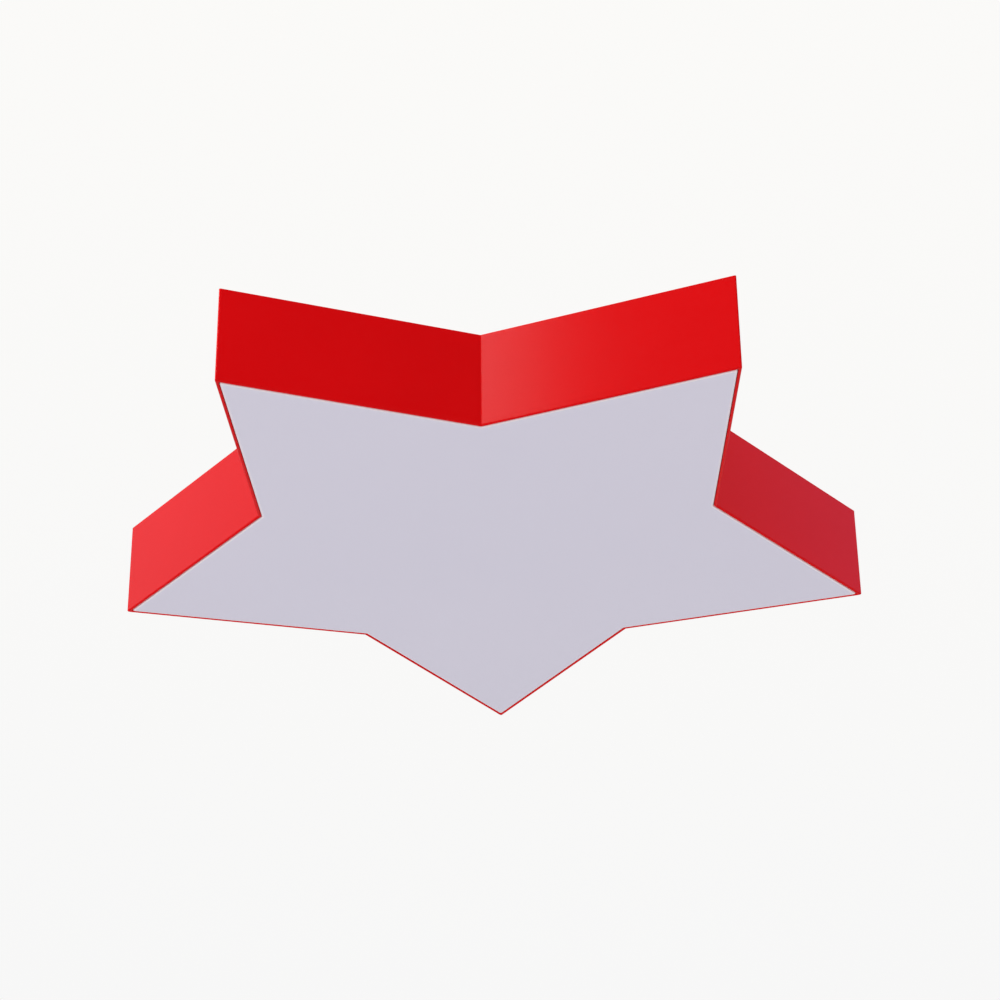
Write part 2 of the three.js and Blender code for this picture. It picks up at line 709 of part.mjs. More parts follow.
for (let i = 0; i < POINTS; i += 1) {
  const arm = turnedGroup(2 * i * cornerStep);
  const tip = polar(insetRadius(TIP_RADIUS, skirtInside), 0);
  const notch = polar(insetRadius(NOTCH_RADIUS, skirtInside), -cornerStep);
  const middle = tip.add(notch).multiplyScalar(0.5);
  const wall = turnedGroup(tipHalfAngle - Math.PI / 2, arm);
  wall.position.set(middle.x, middle.y, 0);
  place(`clip_foot_${i + 1}`, clipFoot(), spring, wall);
  place(`clip_leaf_${i + 1}`, clipLeaf(), spring, wall);
}

export default light;
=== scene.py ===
# %% [markdown]
# # A star ceiling light
#
# The light is a shallow box in the shape of a five-pointed star. A red sheet-metal band makes its
# sides, a flat opal panel closes it from below, and a white back plate carries the electrics and
# hangs from a slotted bracket on the ceiling. The CAD frame holds every size, so this lesson reads
# its sizes from the frame and builds only what the frame is too plain to show.

# %% Load the frame
import json
import math
import random

import bmesh
import bpy
from mathutils import Matrix, Vector


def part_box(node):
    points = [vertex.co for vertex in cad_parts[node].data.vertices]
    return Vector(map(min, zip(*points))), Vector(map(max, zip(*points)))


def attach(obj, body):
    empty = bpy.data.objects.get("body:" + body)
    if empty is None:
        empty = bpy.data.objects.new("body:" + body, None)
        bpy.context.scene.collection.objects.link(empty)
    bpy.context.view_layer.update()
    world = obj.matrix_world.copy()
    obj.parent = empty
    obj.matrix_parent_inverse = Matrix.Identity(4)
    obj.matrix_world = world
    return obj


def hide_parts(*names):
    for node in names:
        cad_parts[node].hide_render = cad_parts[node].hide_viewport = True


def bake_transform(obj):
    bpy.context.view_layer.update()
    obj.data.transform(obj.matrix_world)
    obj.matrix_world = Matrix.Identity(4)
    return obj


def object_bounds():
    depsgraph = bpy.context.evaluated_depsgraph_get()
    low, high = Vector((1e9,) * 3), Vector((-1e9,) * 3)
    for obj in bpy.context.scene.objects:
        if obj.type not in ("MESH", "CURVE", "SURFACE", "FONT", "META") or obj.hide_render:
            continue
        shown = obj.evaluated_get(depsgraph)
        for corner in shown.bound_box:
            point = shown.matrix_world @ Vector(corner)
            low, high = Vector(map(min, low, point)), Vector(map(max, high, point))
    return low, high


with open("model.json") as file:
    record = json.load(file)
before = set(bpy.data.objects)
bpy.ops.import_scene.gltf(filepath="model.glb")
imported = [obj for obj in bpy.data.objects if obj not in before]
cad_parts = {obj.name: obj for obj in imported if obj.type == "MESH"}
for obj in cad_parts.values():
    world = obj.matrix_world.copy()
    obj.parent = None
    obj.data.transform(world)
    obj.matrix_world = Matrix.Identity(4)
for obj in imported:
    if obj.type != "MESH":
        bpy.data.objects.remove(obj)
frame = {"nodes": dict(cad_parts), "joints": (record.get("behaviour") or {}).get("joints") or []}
cad_low, cad_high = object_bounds()
scene = bpy.context.scene
MM = 0.001
print("nodes in the frame:", len(frame["nodes"]))

# %% [markdown]
# ## Camera
#
# The star is seen from below and from in front, as someone in the room would see it. The camera
# could be aimed with a constraint, but three small turns after looking at the middle of the ceiling
# mount place the star in the frame exactly, and they stay readable as named angles.

# %% Camera
CAMERA_DISTANCE = 1.7994
CAMERA_AZIMUTH = math.radians(1.555)
CAMERA_ELEVATION = math.radians(-30.245)
CAMERA_PAN = math.radians(-0.231)
CAMERA_TILT = math.radians(-0.834)
CAMERA_ROLL = math.radians(-0.607)
CAMERA_LENS = 97.38


def aimed_camera():
    data = bpy.data.cameras.new("camera")
    data.lens = CAMERA_LENS
    data.sensor_width = 36
    camera = bpy.data.objects.new("camera", data)
    scene.collection.objects.link(camera)
    level = math.cos(CAMERA_ELEVATION)
    back = Vector((
        math.sin(CAMERA_AZIMUTH) * level,
        -math.cos(CAMERA_AZIMUTH) * level,
        math.sin(CAMERA_ELEVATION),
    ))
    right = Vector((math.cos(CAMERA_AZIMUTH), math.sin(CAMERA_AZIMUTH), 0))
    up = right.cross(-back)
    pan = Matrix.Rotation(CAMERA_PAN, 3, up)
    right = pan @ right
    forward = pan @ -back
    tilt = Matrix.Rotation(CAMERA_TILT, 3, right)
    up = tilt @ up
    forward = tilt @ forward
    rolled_right = math.cos(CAMERA_ROLL) * right + math.sin(CAMERA_ROLL) * up
    rolled_up = -math.sin(CAMERA_ROLL) * right + math.cos(CAMERA_ROLL) * up
    turn = Matrix((rolled_right, rolled_up, -forward)).transposed()
    camera.matrix_world = Matrix.Translation(back * CAMERA_DISTANCE) @ turn.to_4x4()
    return camera


scene.camera = aimed_camera()
print("camera stands at", [round(x, 3) for x in scene.camera.matrix_world.translation])

# %% [markdown]
# ## Room
#
# A product view needs a pale backdrop, a pale floor far below and soft light. The backdrop could
# be a wall, but a wall would stand in the way of other views, so the world shows a pale gradient to
# the camera and a dimmer, even light to the surfaces. A black flag, which is a dark card beside a
# real set, keeps reflections off one wall. Large area lights give the paint its broad, soft
# reflections, the strongest from the left.

# %% World
BACKDROP_HIGH = (0.964, 0.957, 0.940)
BACKDROP_LOW = (0.930, 0.930, 0.930)
BACKDROP_RISE = {"From_Min": 0.30, "From_Max": 0.66}
WORLD_DIFFUSE = (0.68, 0.67, 0.70)
WORLD_GLOSS = (0.42, 0.42, 0.44)
FLAG_WAY = (0.51, -0.68, 0.53)
FLAG_EDGE = 0.935
FLAG_MIDDLE = 0.985
FLAG_LEVEL = 0.03


def link(tree, source, target):
    tree.links.new(source, target)


def with_inputs(node, **values):
    """Sets a node's inputs by name, with _ for a space, and returns the node."""
    for name, value in values.items():
        node.inputs[name.replace("_", " ")].default_value = value
    return node


def colour_mix(tree, **values):
    mix = tree.nodes.new("ShaderNodeMix")
    mix.data_type = "RGBA"
    return with_inputs(mix, **values)


def world_of_soft_light():
    world = bpy.data.worlds.new("studio")
    world.use_nodes = True
    scene.world = world
    tree = world.node_tree
    tree.nodes.clear()
    node = tree.nodes.new
    direction = node("ShaderNodeTexCoord")
    split = node("ShaderNodeSeparateXYZ")
    link(tree, direction.outputs["Generated"], split.inputs[0])
    height = with_inputs(node("ShaderNodeMapRange"), **BACKDROP_RISE)
    link(tree, split.outputs["Z"], height.inputs["Value"])
    backdrop = colour_mix(tree, A=(*BACKDROP_LOW, 1), B=(*BACKDROP_HIGH, 1))
    link(tree, height.outputs[0], backdrop.inputs["Factor"])
    path = node("ShaderNodeLightPath")
    diffuse = with_inputs(node("ShaderNodeBackground"), Color=(*WORLD_DIFFUSE, 1))
    gloss = with_inputs(node("ShaderNodeBackground"), Color=(*WORLD_GLOSS, 1))
    nearness = node("ShaderNodeVectorMath")
    nearness.operation = "DOT_PRODUCT"
    nearness.inputs[1].default_value = FLAG_WAY
    link(tree, direction.outputs["Generated"], nearness.inputs[0])
    flag = with_inputs(
        node("ShaderNodeMapRange"), From_Min=FLAG_EDGE, From_Max=FLAG_MIDDLE, To_Min=1,
        To_Max=FLAG_LEVEL,
    )
    flag.interpolation_type = "SMOOTHSTEP"
    link(tree, nearness.outputs["Value"], flag.inputs["Value"])
    link(tree, flag.outputs[0], gloss.inputs["Strength"])
    seen = node("ShaderNodeBackground")
    link(tree, backdrop.outputs["Result"], seen.inputs["Color"])
    surface = node("ShaderNodeMixShader")
    link(tree, path.outputs["Is Glossy Ray"], surface.inputs[0])
    link(tree, diffuse.outputs[0], surface.inputs[1])
    link(tree, gloss.outputs[0], surface.inputs[2])
    whole = node("ShaderNodeMixShader")
    link(tree, path.outputs["Is Camera Ray"], whole.inputs[0])
    link(tree, surface.outputs[0], whole.inputs[1])
    link(tree, seen.outputs[0], whole.inputs[2])
    output = node("ShaderNodeOutputWorld")
    link(tree, whole.outputs[0], output.inputs[0])


world_of_soft_light()
scene.view_settings.view_transform = "Standard"
print("world made, view transform", scene.view_settings.view_transform)

# %% Lights


def softbox(name, place, width, height, watts, colour=(1, 1, 1), target=(0, 0, -0.03)):
    data = bpy.data.lights.new(name, "AREA")
    data.shape = "RECTANGLE"
    data.size = width
    data.size_y = height
    data.energy = watts
    data.color = colour
    light = bpy.data.objects.new(name, data)
    scene.collection.objects.link(light)
    light.location = place
    aim = Vector(target) - Vector(place)
    light.rotation_euler = aim.to_track_quat("-Z", "Y").to_euler()
    return light


softbox("left_softbox", (-1.5, 0.75, 0.85), 0.9, 0.9, 1.75, (1, 0.88, 1))
softbox("front_left_softbox", (-1.30, -0.80, 0.92), 0.72, 0.8, 2.2)
softbox("near_left_softbox", (-0.60, -0.60, 0.42), 0.34, 0.36, 2.7)
softbox("low_left_softbox", (-1.7, -1.0, -0.8), 0.9, 0.9, 5)
softbox("front_softbox", (0.3, -2.7, -0.5), 1.4, 0.9, 1)
softbox("right_softbox", (1.5, 0.75, 0.85), 0.7, 0.7, 1.0, (1, 0.25, 0.85))
softbox("high_softbox", (0.3, 0.6, 2.2), 1.6, 1.6, 12)
softbox("low_softbox", (0.1, -0.3, -2.0), 1.8, 1.8, 5)

# %% Floor
FLOOR_Z = -2.4
FLOOR_SIZE = 400
FLOOR_COLOUR = (0.82, 0.82, 0.82, 1)


def pale_floor():
    mesh = bpy.data.meshes.new("floor")
    bm = bmesh.new()
    bmesh.ops.create_grid(bm, x_segments=1, y_segments=1, size=FLOOR_SIZE / 2)
    bmesh.ops.translate(bm, vec=(0, 0, FLOOR_Z), verts=bm.verts)
    bm.to_mesh(mesh)
    bm.free()
    floor = bpy.data.objects.new("floor", mesh)
    scene.collection.objects.link(floor)
    material = bpy.data.materials.new("floor_paint")
    material.use_nodes = True
    shader = material.node_tree.nodes["Principled BSDF"]
    with_inputs(shader, Base_Color=FLOOR_COLOUR, Roughness=0.9)
    mesh.materials.append(material)


pale_floor()

# %% [markdown]
# ## Finishes
#
# A finish is a Principled shader fed by a few shared effects. Paint, plastic and steel all vary a
# little in colour over a hand's width, and all have a fine surface grain, so those two effects are
# node groups that are built once. Each material places them with its own values. Anything that is
# the same all over, such as a metal's metallic value, is set on the shader itself.

# %% Shared effects


def effect_group(name, inputs, outputs):
    group = bpy.data.node_groups.new(name, "ShaderNodeTree")
    for socket, kind, value in inputs:
        made = group.interface.new_socket(socket, in_out="INPUT", socket_type=kind)
        made.default_value = value
    for socket, kind in outputs:
        group.interface.new_socket(socket, in_out="OUTPUT", socket_type=kind)
    entry = group.nodes.new("NodeGroupInput")
    leave = group.nodes.new("NodeGroupOutput")
    return group, entry.outputs, leave.inputs


def noise_node(group, scale, detail=3.0, roughness=0.5):
    noise = group.nodes.new("ShaderNodeTexNoise")
    with_inputs(noise, Detail=detail, Roughness=roughness)
    link(group, scale, noise.inputs["Scale"])
    return noise


def stretched(group, value):
    """Noise keeps near its middle; this spreads the middle over the whole range."""
    spread = with_inputs(group.nodes.new("ShaderNodeMapRange"), From_Min=0.3, From_Max=0.7)
    link(group, value, spread.inputs["Value"])
    return spread


def mottle_group():
    """Two close colours drift into each other over the surface."""
    group, given, out = effect_group(
        "mottle",
        [
            ("Colour A", "NodeSocketColor", (0.5, 0.5, 0.5, 1)),
            ("Colour B", "NodeSocketColor", (0.4, 0.4, 0.4, 1)),
            ("Scale", "NodeSocketFloat", 12.0),
            ("Place", "NodeSocketVector", (0, 0, 0)),
        ],
        [("Colour", "NodeSocketColor"), ("Mask", "NodeSocketFloat")],
    )
    noise = noise_node(group, given["Scale"], 4.0, 0.55)
    link(group, given["Place"], noise.inputs["Vector"])
    spread = stretched(group, noise.outputs["Fac"])
    mix = colour_mix(group)
    link(group, spread.outputs[0], mix.inputs["Factor"])
    link(group, given["Colour A"], mix.inputs["A"])
    link(group, given["Colour B"], mix.inputs["B"])
    link(group, mix.outputs["Result"], out["Colour"])
    link(group, spread.outputs[0], out["Mask"])
    return group


def grain_group():
    """A fine skin, as a height for a Bump node, and a roughness that follows it."""
    group, given, out = effect_group(
        "grain",
        [
            ("Place", "NodeSocketVector", (0, 0, 0)),
            ("Scale", "NodeSocketFloat", 900.0),
            ("Broad Scale", "NodeSocketFloat", 60.0),
            ("Broad Share", "NodeSocketFloat", 0.3),
            ("Smooth", "NodeSocketFloat", 0.3),
            ("Rough", "NodeSocketFloat", 0.4),
        ],
        [("Height", "NodeSocketFloat"), ("Roughness", "NodeSocketFloat")],
    )
    fine = noise_node(group, given["Scale"], 2.0)
    broad = noise_node(group, given["Broad Scale"], 3.0)
    for noise in (fine, broad):
        link(group, given["Place"], noise.inputs["Vector"])
    height = group.nodes.new("ShaderNodeMix")
    link(group, given["Broad Share"], height.inputs["Factor"])
    link(group, fine.outputs["Fac"], height.inputs["A"])
    link(group, broad.outputs["Fac"], height.inputs["B"])
    roughness = stretched(group, broad.outputs["Fac"])
    link(group, given["Smooth"], roughness.inputs["To Min"])
    link(group, given["Rough"], roughness.inputs["To Max"])
    link(group, height.outputs["Result"], out["Height"])
    link(group, roughness.outputs[0], out["Roughness"])
    return group


MOTTLE = mottle_group()
GRAIN = grain_group()
print("effects:", [g.name for g in bpy.data.node_groups])

# %% One function for a painted or moulded finish
RED_DEEP = (0.75, 0.0008, 0.0022)
RED_BRIGHT = (0.79, 0.0012, 0.0029)


def place_group(tree, group, **values):
    node = tree.nodes.new("ShaderNodeGroup")
    node.node_tree = group
    return with_inputs(node, **values)


def object_place(tree, stretch=(1, 1, 1)):
    coordinates = tree.nodes.new("ShaderNodeTexCoord")
    mapping = with_inputs(tree.nodes.new("ShaderNodeMapping"), Scale=stretch)
    link(tree, coordinates.outputs["Object"], mapping.inputs["Vector"])
    return mapping.outputs["Vector"]


def finish_material(
    name, colour_a, colour_b, smooth, rough, *, metallic=0.0, scale=12.0, grain=900.0,
    broad=60.0, broad_share=0.3, depth=0.00002, strength=0.3, stretch=(1, 1, 1), **sockets,
):
    material = bpy.data.materials.new(name)
    material.use_nodes = True
    tree = material.node_tree
    shader = tree.nodes["Principled BSDF"]
    where = object_place(tree, stretch)
    mottle = place_group(
        tree, MOTTLE, Colour_A=(*colour_a, 1), Colour_B=(*colour_b, 1), Scale=scale,
    )
    skin = place_group(
        tree, GRAIN, Scale=grain, Broad_Scale=broad, Broad_Share=broad_share,
        Smooth=smooth, Rough=rough,
    )
    for effect in (mottle, skin):
        link(tree, where, effect.inputs["Place"])
    bump = with_inputs(tree.nodes.new("ShaderNodeBump"), Strength=strength, Distance=depth)
    link(tree, skin.outputs["Height"], bump.inputs["Height"])
    link(tree, mottle.outputs["Colour"], shader.inputs["Base Color"])
    link(tree, skin.outputs["Roughness"], shader.inputs["Roughness"])
    link(tree, bump.outputs["Normal"], shader.inputs["Normal"])
    with_inputs(shader, Metallic=metallic, **sockets)
    return material


red_paint = finish_material(
    "satin_red_paint", RED_DEEP, RED_BRIGHT, 0.19, 0.23, scale=9, grain=1300, broad=260,
    broad_share=0.5, depth=0.00003, strength=0.2, Specular_IOR_Level=0.09,
)
opal = finish_material(
    "opal_sheet", (0.80, 0.775, 0.87), (0.785, 0.762, 0.86), 0.42, 0.48, scale=5,
    grain=700, broad=40, depth=0.00001, strength=0.15,
)
# The pale colour painted along the diffuser's rim as a highlight, where its edge would catch the light.
RIM_HIGHLIGHT_COLOUR = (0.97, 0.90, 0.92)


def paint_rim_highlight(material):
    """Paints a highlight into a finish where a piece's rim attribute is one, lightening the colour
    there.
    """
    tree = material.node_tree
    shader = tree.nodes["Principled BSDF"]
    plain = shader.inputs["Base Color"].links[0].from_socket
    rim = tree.nodes.new("ShaderNodeAttribute")
    rim.attribute_name = "rim"
    mix = colour_mix(tree, B=(*RIM_HIGHLIGHT_COLOUR, 1))
    link(tree, rim.outputs["Fac"], mix.inputs["Factor"])
    link(tree, plain, mix.inputs["A"])
    link(tree, mix.outputs["Result"], shader.inputs["Base Color"])


# Paints a highlight into the opal finish along the panel's rim.
paint_rim_highlight(opal)
print("finishes:", [m.name for m in bpy.data.materials])

# %% [markdown]
# ## Star outlines
#
# All ten walls of the star lie at one distance from its centre. Moving every wall in by the same
# amount is therefore the same as scaling the star, and one outline serves every star-shaped piece.
# The outline starts as a ten-sided circle whose alternate corners are pulled in, and its corners
# are rounded to the radius that sheet metal takes when it is folded. Curves could draw it too, but a
# bmesh outline can be extruded into walls at once.

# %% Star outline
TIP_RADIUS = cad_high.y
band_points = [v.co for v in frame["nodes"]["star_band"].data.vertices]
NOTCH_RADIUS = max(-p.y for p in band_points if abs(p.x) < 0.01 * MM)
DEPTH = -cad_low.z
WALL_TURN = math.radians(36)
wall_length = math.hypot(
    TIP_RADIUS - NOTCH_RADIUS * math.cos(WALL_TURN),
    NOTCH_RADIUS * math.sin(WALL_TURN),
)
WALL_DISTANCE = TIP_RADIUS * NOTCH_RADIUS * math.sin(WALL_TURN) / wall_length
TIP_FOLD = 1.5 * MM
NOTCH_FOLD = 0.45 * MM
FOLD_SEGMENTS = 5


def is_vert(element):
    return isinstance(element, bmesh.types.BMVert)


def is_edge(element):
    return isinstance(element, bmesh.types.BMEdge)


def star_face(bm, inset, z, tip_fold=TIP_FOLD, notch_fold=NOTCH_FOLD):
    """One flat face in the shape of the star, its walls moved in by the inset."""
    corners = bmesh.ops.create_circle(bm, cap_ends=True, segments=10, radius=TIP_RADIUS)["verts"]
    pull = NOTCH_RADIUS / TIP_RADIUS
    bmesh.ops.scale(bm, vec=(pull, pull, 1), verts=corners[1::2])
    for turned, fold in ((corners[0::2], tip_fold), (corners[1::2], notch_fold)):
        bmesh.ops.bevel(
            bm, geom=turned, offset=fold, segments=FOLD_SEGMENTS, profile=0.5,
            affect="VERTICES", material=-1,
        )
    face = max(bm.faces, key=lambda f: len(f.verts))
    share = 1 - inset / WALL_DISTANCE
    bmesh.ops.scale(bm, vec=(share, share, 1), verts=face.verts)
    bmesh.ops.translate(bm, vec=(0, 0, z), verts=face.verts)
    return face


def next_loop(bm, edges, share, rise):
    """Extrudes a loop of edges, scales it about Z, raises it, and returns the new loop."""
    made = bmesh.ops.extrude_edge_only(bm, edges=edges)["geom"]
    dots = [g for g in made if is_vert(g)]
    bmesh.ops.scale(bm, vec=(share, share, 1), verts=dots)
    bmesh.ops.translate(bm, vec=(0, 0, rise), verts=dots)
    return [g for g in made if is_edge(g) and g.verts[0] in dots and g.verts[1] in dots]


def sweep_star(bm, edges, route):
    """Carries a loop of star edges along a route of (inset, z) points, and returns the last loop."""
    for (inset, z), (next_inset, next_z) in zip(route, route[1:]):
        share = (WALL_DISTANCE - next_inset) / (WALL_DISTANCE - inset)
        edges = next_loop(bm, edges, share, next_z - z)
    return edges


def arc(steps, first=0, sweep=math.pi / 2):
    """The angles of an arc in equal steps."""
    return [sweep * step / steps for step in range(first, steps + 1)]


def piece_from(name, bm, material, body, slot, replaces=(), smooth_angle=30, even=True):
    """Turns a finished bmesh into a piece that rides on a body of the frame."""
    mesh = bpy.data.meshes.new(name)
    bm.to_mesh(mesh)
    bm.free()
    mesh.shade_smooth()
    mesh.set_sharp_from_angle(angle=math.radians(smooth_angle))
    mesh.materials.append(material)
    piece = bpy.data.objects.new(name, mesh)
    scene.collection.objects.link(piece)
    if even:
        piece.modifiers.new("even_normals", "WEIGHTED_NORMAL").keep_sharp = True
    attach(piece, body)
    if replaces:
        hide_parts(*replaces)
    return piece


def star_ring(name, route, **as_piece):
    """A closed star-shaped wall whose section is the route of (inset, z) points."""
    bm = bmesh.new()
    face = star_face(bm, *route[0])
    edges = list(face.edges)
    bmesh.ops.delete(bm, geom=[face], context="FACES_ONLY")
    sweep_star(bm, edges, [*route, route[0]])
    bmesh.ops.remove_doubles(bm, verts=bm.verts, dist=0.01 * MM)
    bmesh.ops.recalc_face_normals(bm, faces=bm.faces)
    return piece_from(name, bm, **as_piece)


print(f"tip {TIP_RADIUS:.4f} m, notch {NOTCH_RADIUS:.4f} m, walls {WALL_DISTANCE:.4f} m from the centre")

# %% [markdown]
# ## The band
#
# The band is one long strip of 1 mm steel, folded ten times. Its lower edge is hemmed: folded back
# inside and pressed flat, so that the edge is round, stiff and safe to touch. It could be a plain
# extrusion with a Bevel modifier, but the hem is what the light's thin red rim shows, so the whole
# section of the sheet is swept round the star, hem and all.

# %% Band
SHEET = 1.0 * MM
HEM_HEIGHT = 8.0 * MM
HEM_STEPS = 8
CUT_EDGE = 0.15 * MM


def hem_section():
    section = [(CUT_EDGE, 0), (0, -CUT_EDGE)]
    for turn in arc(HEM_STEPS, sweep=math.pi):
        section.append((SHEET - SHEET * math.cos(turn), -DEPTH + SHEET - SHEET * math.sin(turn)))
    section += [
        (2 * SHEET, -DEPTH + HEM_HEIGHT - CUT_EDGE),
        (2 * SHEET - CUT_EDGE, -DEPTH + HEM_HEIGHT),
        (SHEET + CUT_EDGE, -DEPTH + HEM_HEIGHT),
        (SHEET, -DEPTH + HEM_HEIGHT + CUT_EDGE),
        (SHEET, -CUT_EDGE),
        (SHEET - CUT_EDGE, 0),
    ]
    return section


band = star_ring(
    "band", hem_section(), material=red_paint, body="housing", slot="band_red",
    replaces=["star_band"],
)
print("band faces:", len(band.data.polygons))

# %% [markdown]
# ## The diffuser
#
# The light comes out through a flat opal acrylic star. It is cut from a 3 mm sheet, so its face is
# dead flat and its edges are only broken with a small chamfer. A narrow pale rim round the face is a
# painted highlight, standing in for the light that the cut edge catches. It could be a second
# material, but a vertex attribute that is one along it lets one finish serve the whole sheet. Behind
# it a bent acrylic skirt is bonded on, which guides it up into the band.

# %% Diffuser
PANEL_EDGE = 0.45 * MM
PAINTED_HIGHLIGHT_WIDTH = 1.2 * MM
panel_low, panel_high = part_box("diffuser_panel")
skirt_low, skirt_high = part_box("diffuser_skirt")
PANEL_INSET = WALL_DISTANCE * (1 - panel_high.y / TIP_RADIUS)
SKIRT_SHEET = 2.5 * MM
SKIRT_EDGE = 0.5 * MM


def diffuser_panel():
    bm = bmesh.new()
    rim = bm.verts.layers.float.new("rim")
    low = star_face(bm, PANEL_INSET + PANEL_EDGE + PAINTED_HIGHLIGHT_WIDTH, panel_low.z)
    route = [
        (PANEL_INSET + PANEL_EDGE + PAINTED_HIGHLIGHT_WIDTH, panel_low.z),
        (PANEL_INSET + PANEL_EDGE, panel_low.z),
        (PANEL_INSET, panel_low.z + PANEL_EDGE),
        (PANEL_INSET, panel_high.z - PANEL_EDGE),
        (PANEL_INSET + PANEL_EDGE, panel_high.z),
        (PANEL_INSET + PANEL_EDGE + PAINTED_HIGHLIGHT_WIDTH, panel_high.z),
    ]
    last = sweep_star(bm, list(low.edges), route)
    # The rim attribute is one on the outer loops, where the highlight is painted, and nought inside.
    inner = {*low.verts, *(dot for edge in last for dot in edge.verts)}
    for dot in bm.verts:
        dot[rim] = 0.0 if dot in inner else 1.0
    bmesh.ops.edgeloop_fill(bm, edges=last)
    bmesh.ops.recalc_face_normals(bm, faces=bm.faces)
    return piece_from(
        "panel", bm, opal, "diffuser", "opal_acrylic", ["diffuser_panel"], smooth_angle=60,
    )


panel = diffuser_panel()
skirt = star_ring(
    "skirt",
    [
        (PANEL_INSET, skirt_low.z),
        (PANEL_INSET, skirt_high.z - SKIRT_EDGE),
        (PANEL_INSET + SKIRT_EDGE, skirt_high.z),
        (PANEL_INSET + SKIRT_SHEET - SKIRT_EDGE, skirt_high.z),
        (PANEL_INSET + SKIRT_SHEET, skirt_high.z - SKIRT_EDGE),
        (PANEL_INSET + SKIRT_SHEET, skirt_low.z),
    ],
    material=opal, body="diffuser", slot="opal_acrylic", replaces=["diffuser_skirt"],
)
print("panel inset from the band's outside:", round(PANEL_INSET / MM, 2), "mm")

# %% [markdown]
# ## Finishes of the ceiling side
#
# Above and behind the diffuser the light is plain hardware: white powder-coated sheet, zinc-plated
# brackets and screws, nickel-plated cap nuts, spring steel, nylon and rubber. Each could have its own
# node tree, but they differ only in colour, metal and grain, so the same function makes them all.

# %% Hardware finishes
white_coat = finish_material(
    "white_powder_coat", (0.80, 0.80, 0.78), (0.76, 0.76, 0.745), 0.38, 0.46, scale=7,
    grain=1100, broad=240, broad_share=0.6, depth=0.00004, strength=0.3,
)
zinc_plate = finish_material(
    "zinc_plating", (0.62, 0.64, 0.68), (0.46, 0.49, 0.55), 0.26, 0.44, metallic=1.0, scale=55,
    grain=1600, broad=90, broad_share=0.4, depth=0.00001, strength=0.25,
)
screw_zinc = finish_material(
    "zinc_screws", (0.66, 0.66, 0.66), (0.55, 0.55, 0.53), 0.24, 0.38, metallic=1.0, scale=160,
    grain=2400, broad=300, depth=0.00001, strength=0.2,
)
nickel = finish_material(
    "bright_nickel", (0.78, 0.75, 0.69), (0.72, 0.69, 0.63), 0.10, 0.20, metallic=1.0, scale=90,
    grain=2600, broad=220, depth=0.000005, strength=0.15,
)
spring_strip = finish_material(
    "spring_strip", (0.42, 0.43, 0.46), (0.34, 0.35, 0.39), 0.22, 0.34, metallic=1.0, scale=70,
    grain=2200, broad=400, depth=0.000006, strength=0.3, stretch=(1, 1, 0.12),
)
tinned = finish_material(
    "tinned_copper", (0.74, 0.74, 0.73), (0.62, 0.62, 0.61), 0.22, 0.40, metallic=1.0, scale=240,
    grain=1800, broad=500, depth=0.00002, strength=0.3,
)
brass = finish_material(
    "brass", (0.76, 0.56, 0.25), (0.66, 0.46, 0.19), 0.20, 0.34, metallic=1.0, scale=200,
    grain=2400, broad=400, depth=0.00001, strength=0.2,
)
board_mask = finish_material(
    "white_solder_mask", (0.83, 0.84, 0.83), (0.79, 0.80, 0.80), 0.30, 0.42, scale=60,
    grain=1500, broad=120, depth=0.00001, strength=0.2,
)
phosphor = finish_material(
    "yellow_phosphor", (0.83, 0.64, 0.10), (0.78, 0.56, 0.07), 0.45, 0.55, scale=900,
    grain=4000, broad=900, depth=0.00001, strength=0.2,
)
lens_plastic = finish_material(
    "clear_lens", (0.95, 0.96, 0.97), (0.92, 0.93, 0.95), 0.10, 0.20, scale=200,
    grain=1500, broad=200, depth=0.000004, strength=0.1, Transmission_Weight=0.85, IOR=1.49,
)
driver_shell = finish_material(
    "driver_shell", (0.78, 0.78, 0.75), (0.74, 0.74, 0.71), 0.42, 0.56, scale=20,
    grain=1400, broad=500, broad_share=0.6, depth=0.00005, strength=0.35,
)
nylon = finish_material(
    "natural_nylon", (0.80, 0.78, 0.69), (0.74, 0.72, 0.62), 0.30, 0.42, scale=60,
    grain=1200, broad=150, depth=0.00002, strength=0.2, Subsurface_Weight=0.15,
    Subsurface_Scale=0.003,
)
rubber = finish_material(
    "black_rubber", (0.022, 0.022, 0.023), (0.034, 0.034, 0.034), 0.62, 0.78, scale=80,
    grain=900, broad=300, broad_share=0.5, depth=0.00006, strength=0.4,
)


def lead_finish(name, colour_a, colour_b, scale=90):
    return finish_material(
        name, colour_a, colour_b, 0.34, 0.46, scale=scale, grain=1500, broad=300,
        depth=0.00003, strength=0.25,
    )


brown_lead = lead_finish("brown_sleeve", (0.115, 0.045, 0.022), (0.095, 0.036, 0.018))
blue_lead = lead_finish("blue_sleeve", (0.018, 0.075, 0.36), (0.014, 0.062, 0.31))
red_lead = lead_finish("red_sleeve", (0.46, 0.012, 0.014), (0.40, 0.009, 0.011))
black_lead = lead_finish("black_sleeve", (0.016, 0.016, 0.017), (0.024, 0.024, 0.025))
print("finishes:", len(bpy.data.materials))

# %% [markdown]
# An earth lead is green with a yellow stripe that winds slowly round it. A stripe along the tube
# would need its own UV map, but bands that cross the lead at a slant look the same on a short lead,
# so a banded wave on Object coordinates chooses between the two colours.

# %% Striped earth lead
EARTH_GREEN = (0.045, 0.22, 0.035)
EARTH_YELLOW = (0.72, 0.56, 0.03)
STRIPE_SCALE = 95
STRIPE_EDGE = {"From_Min": 0.55, "From_Max": 0.62}


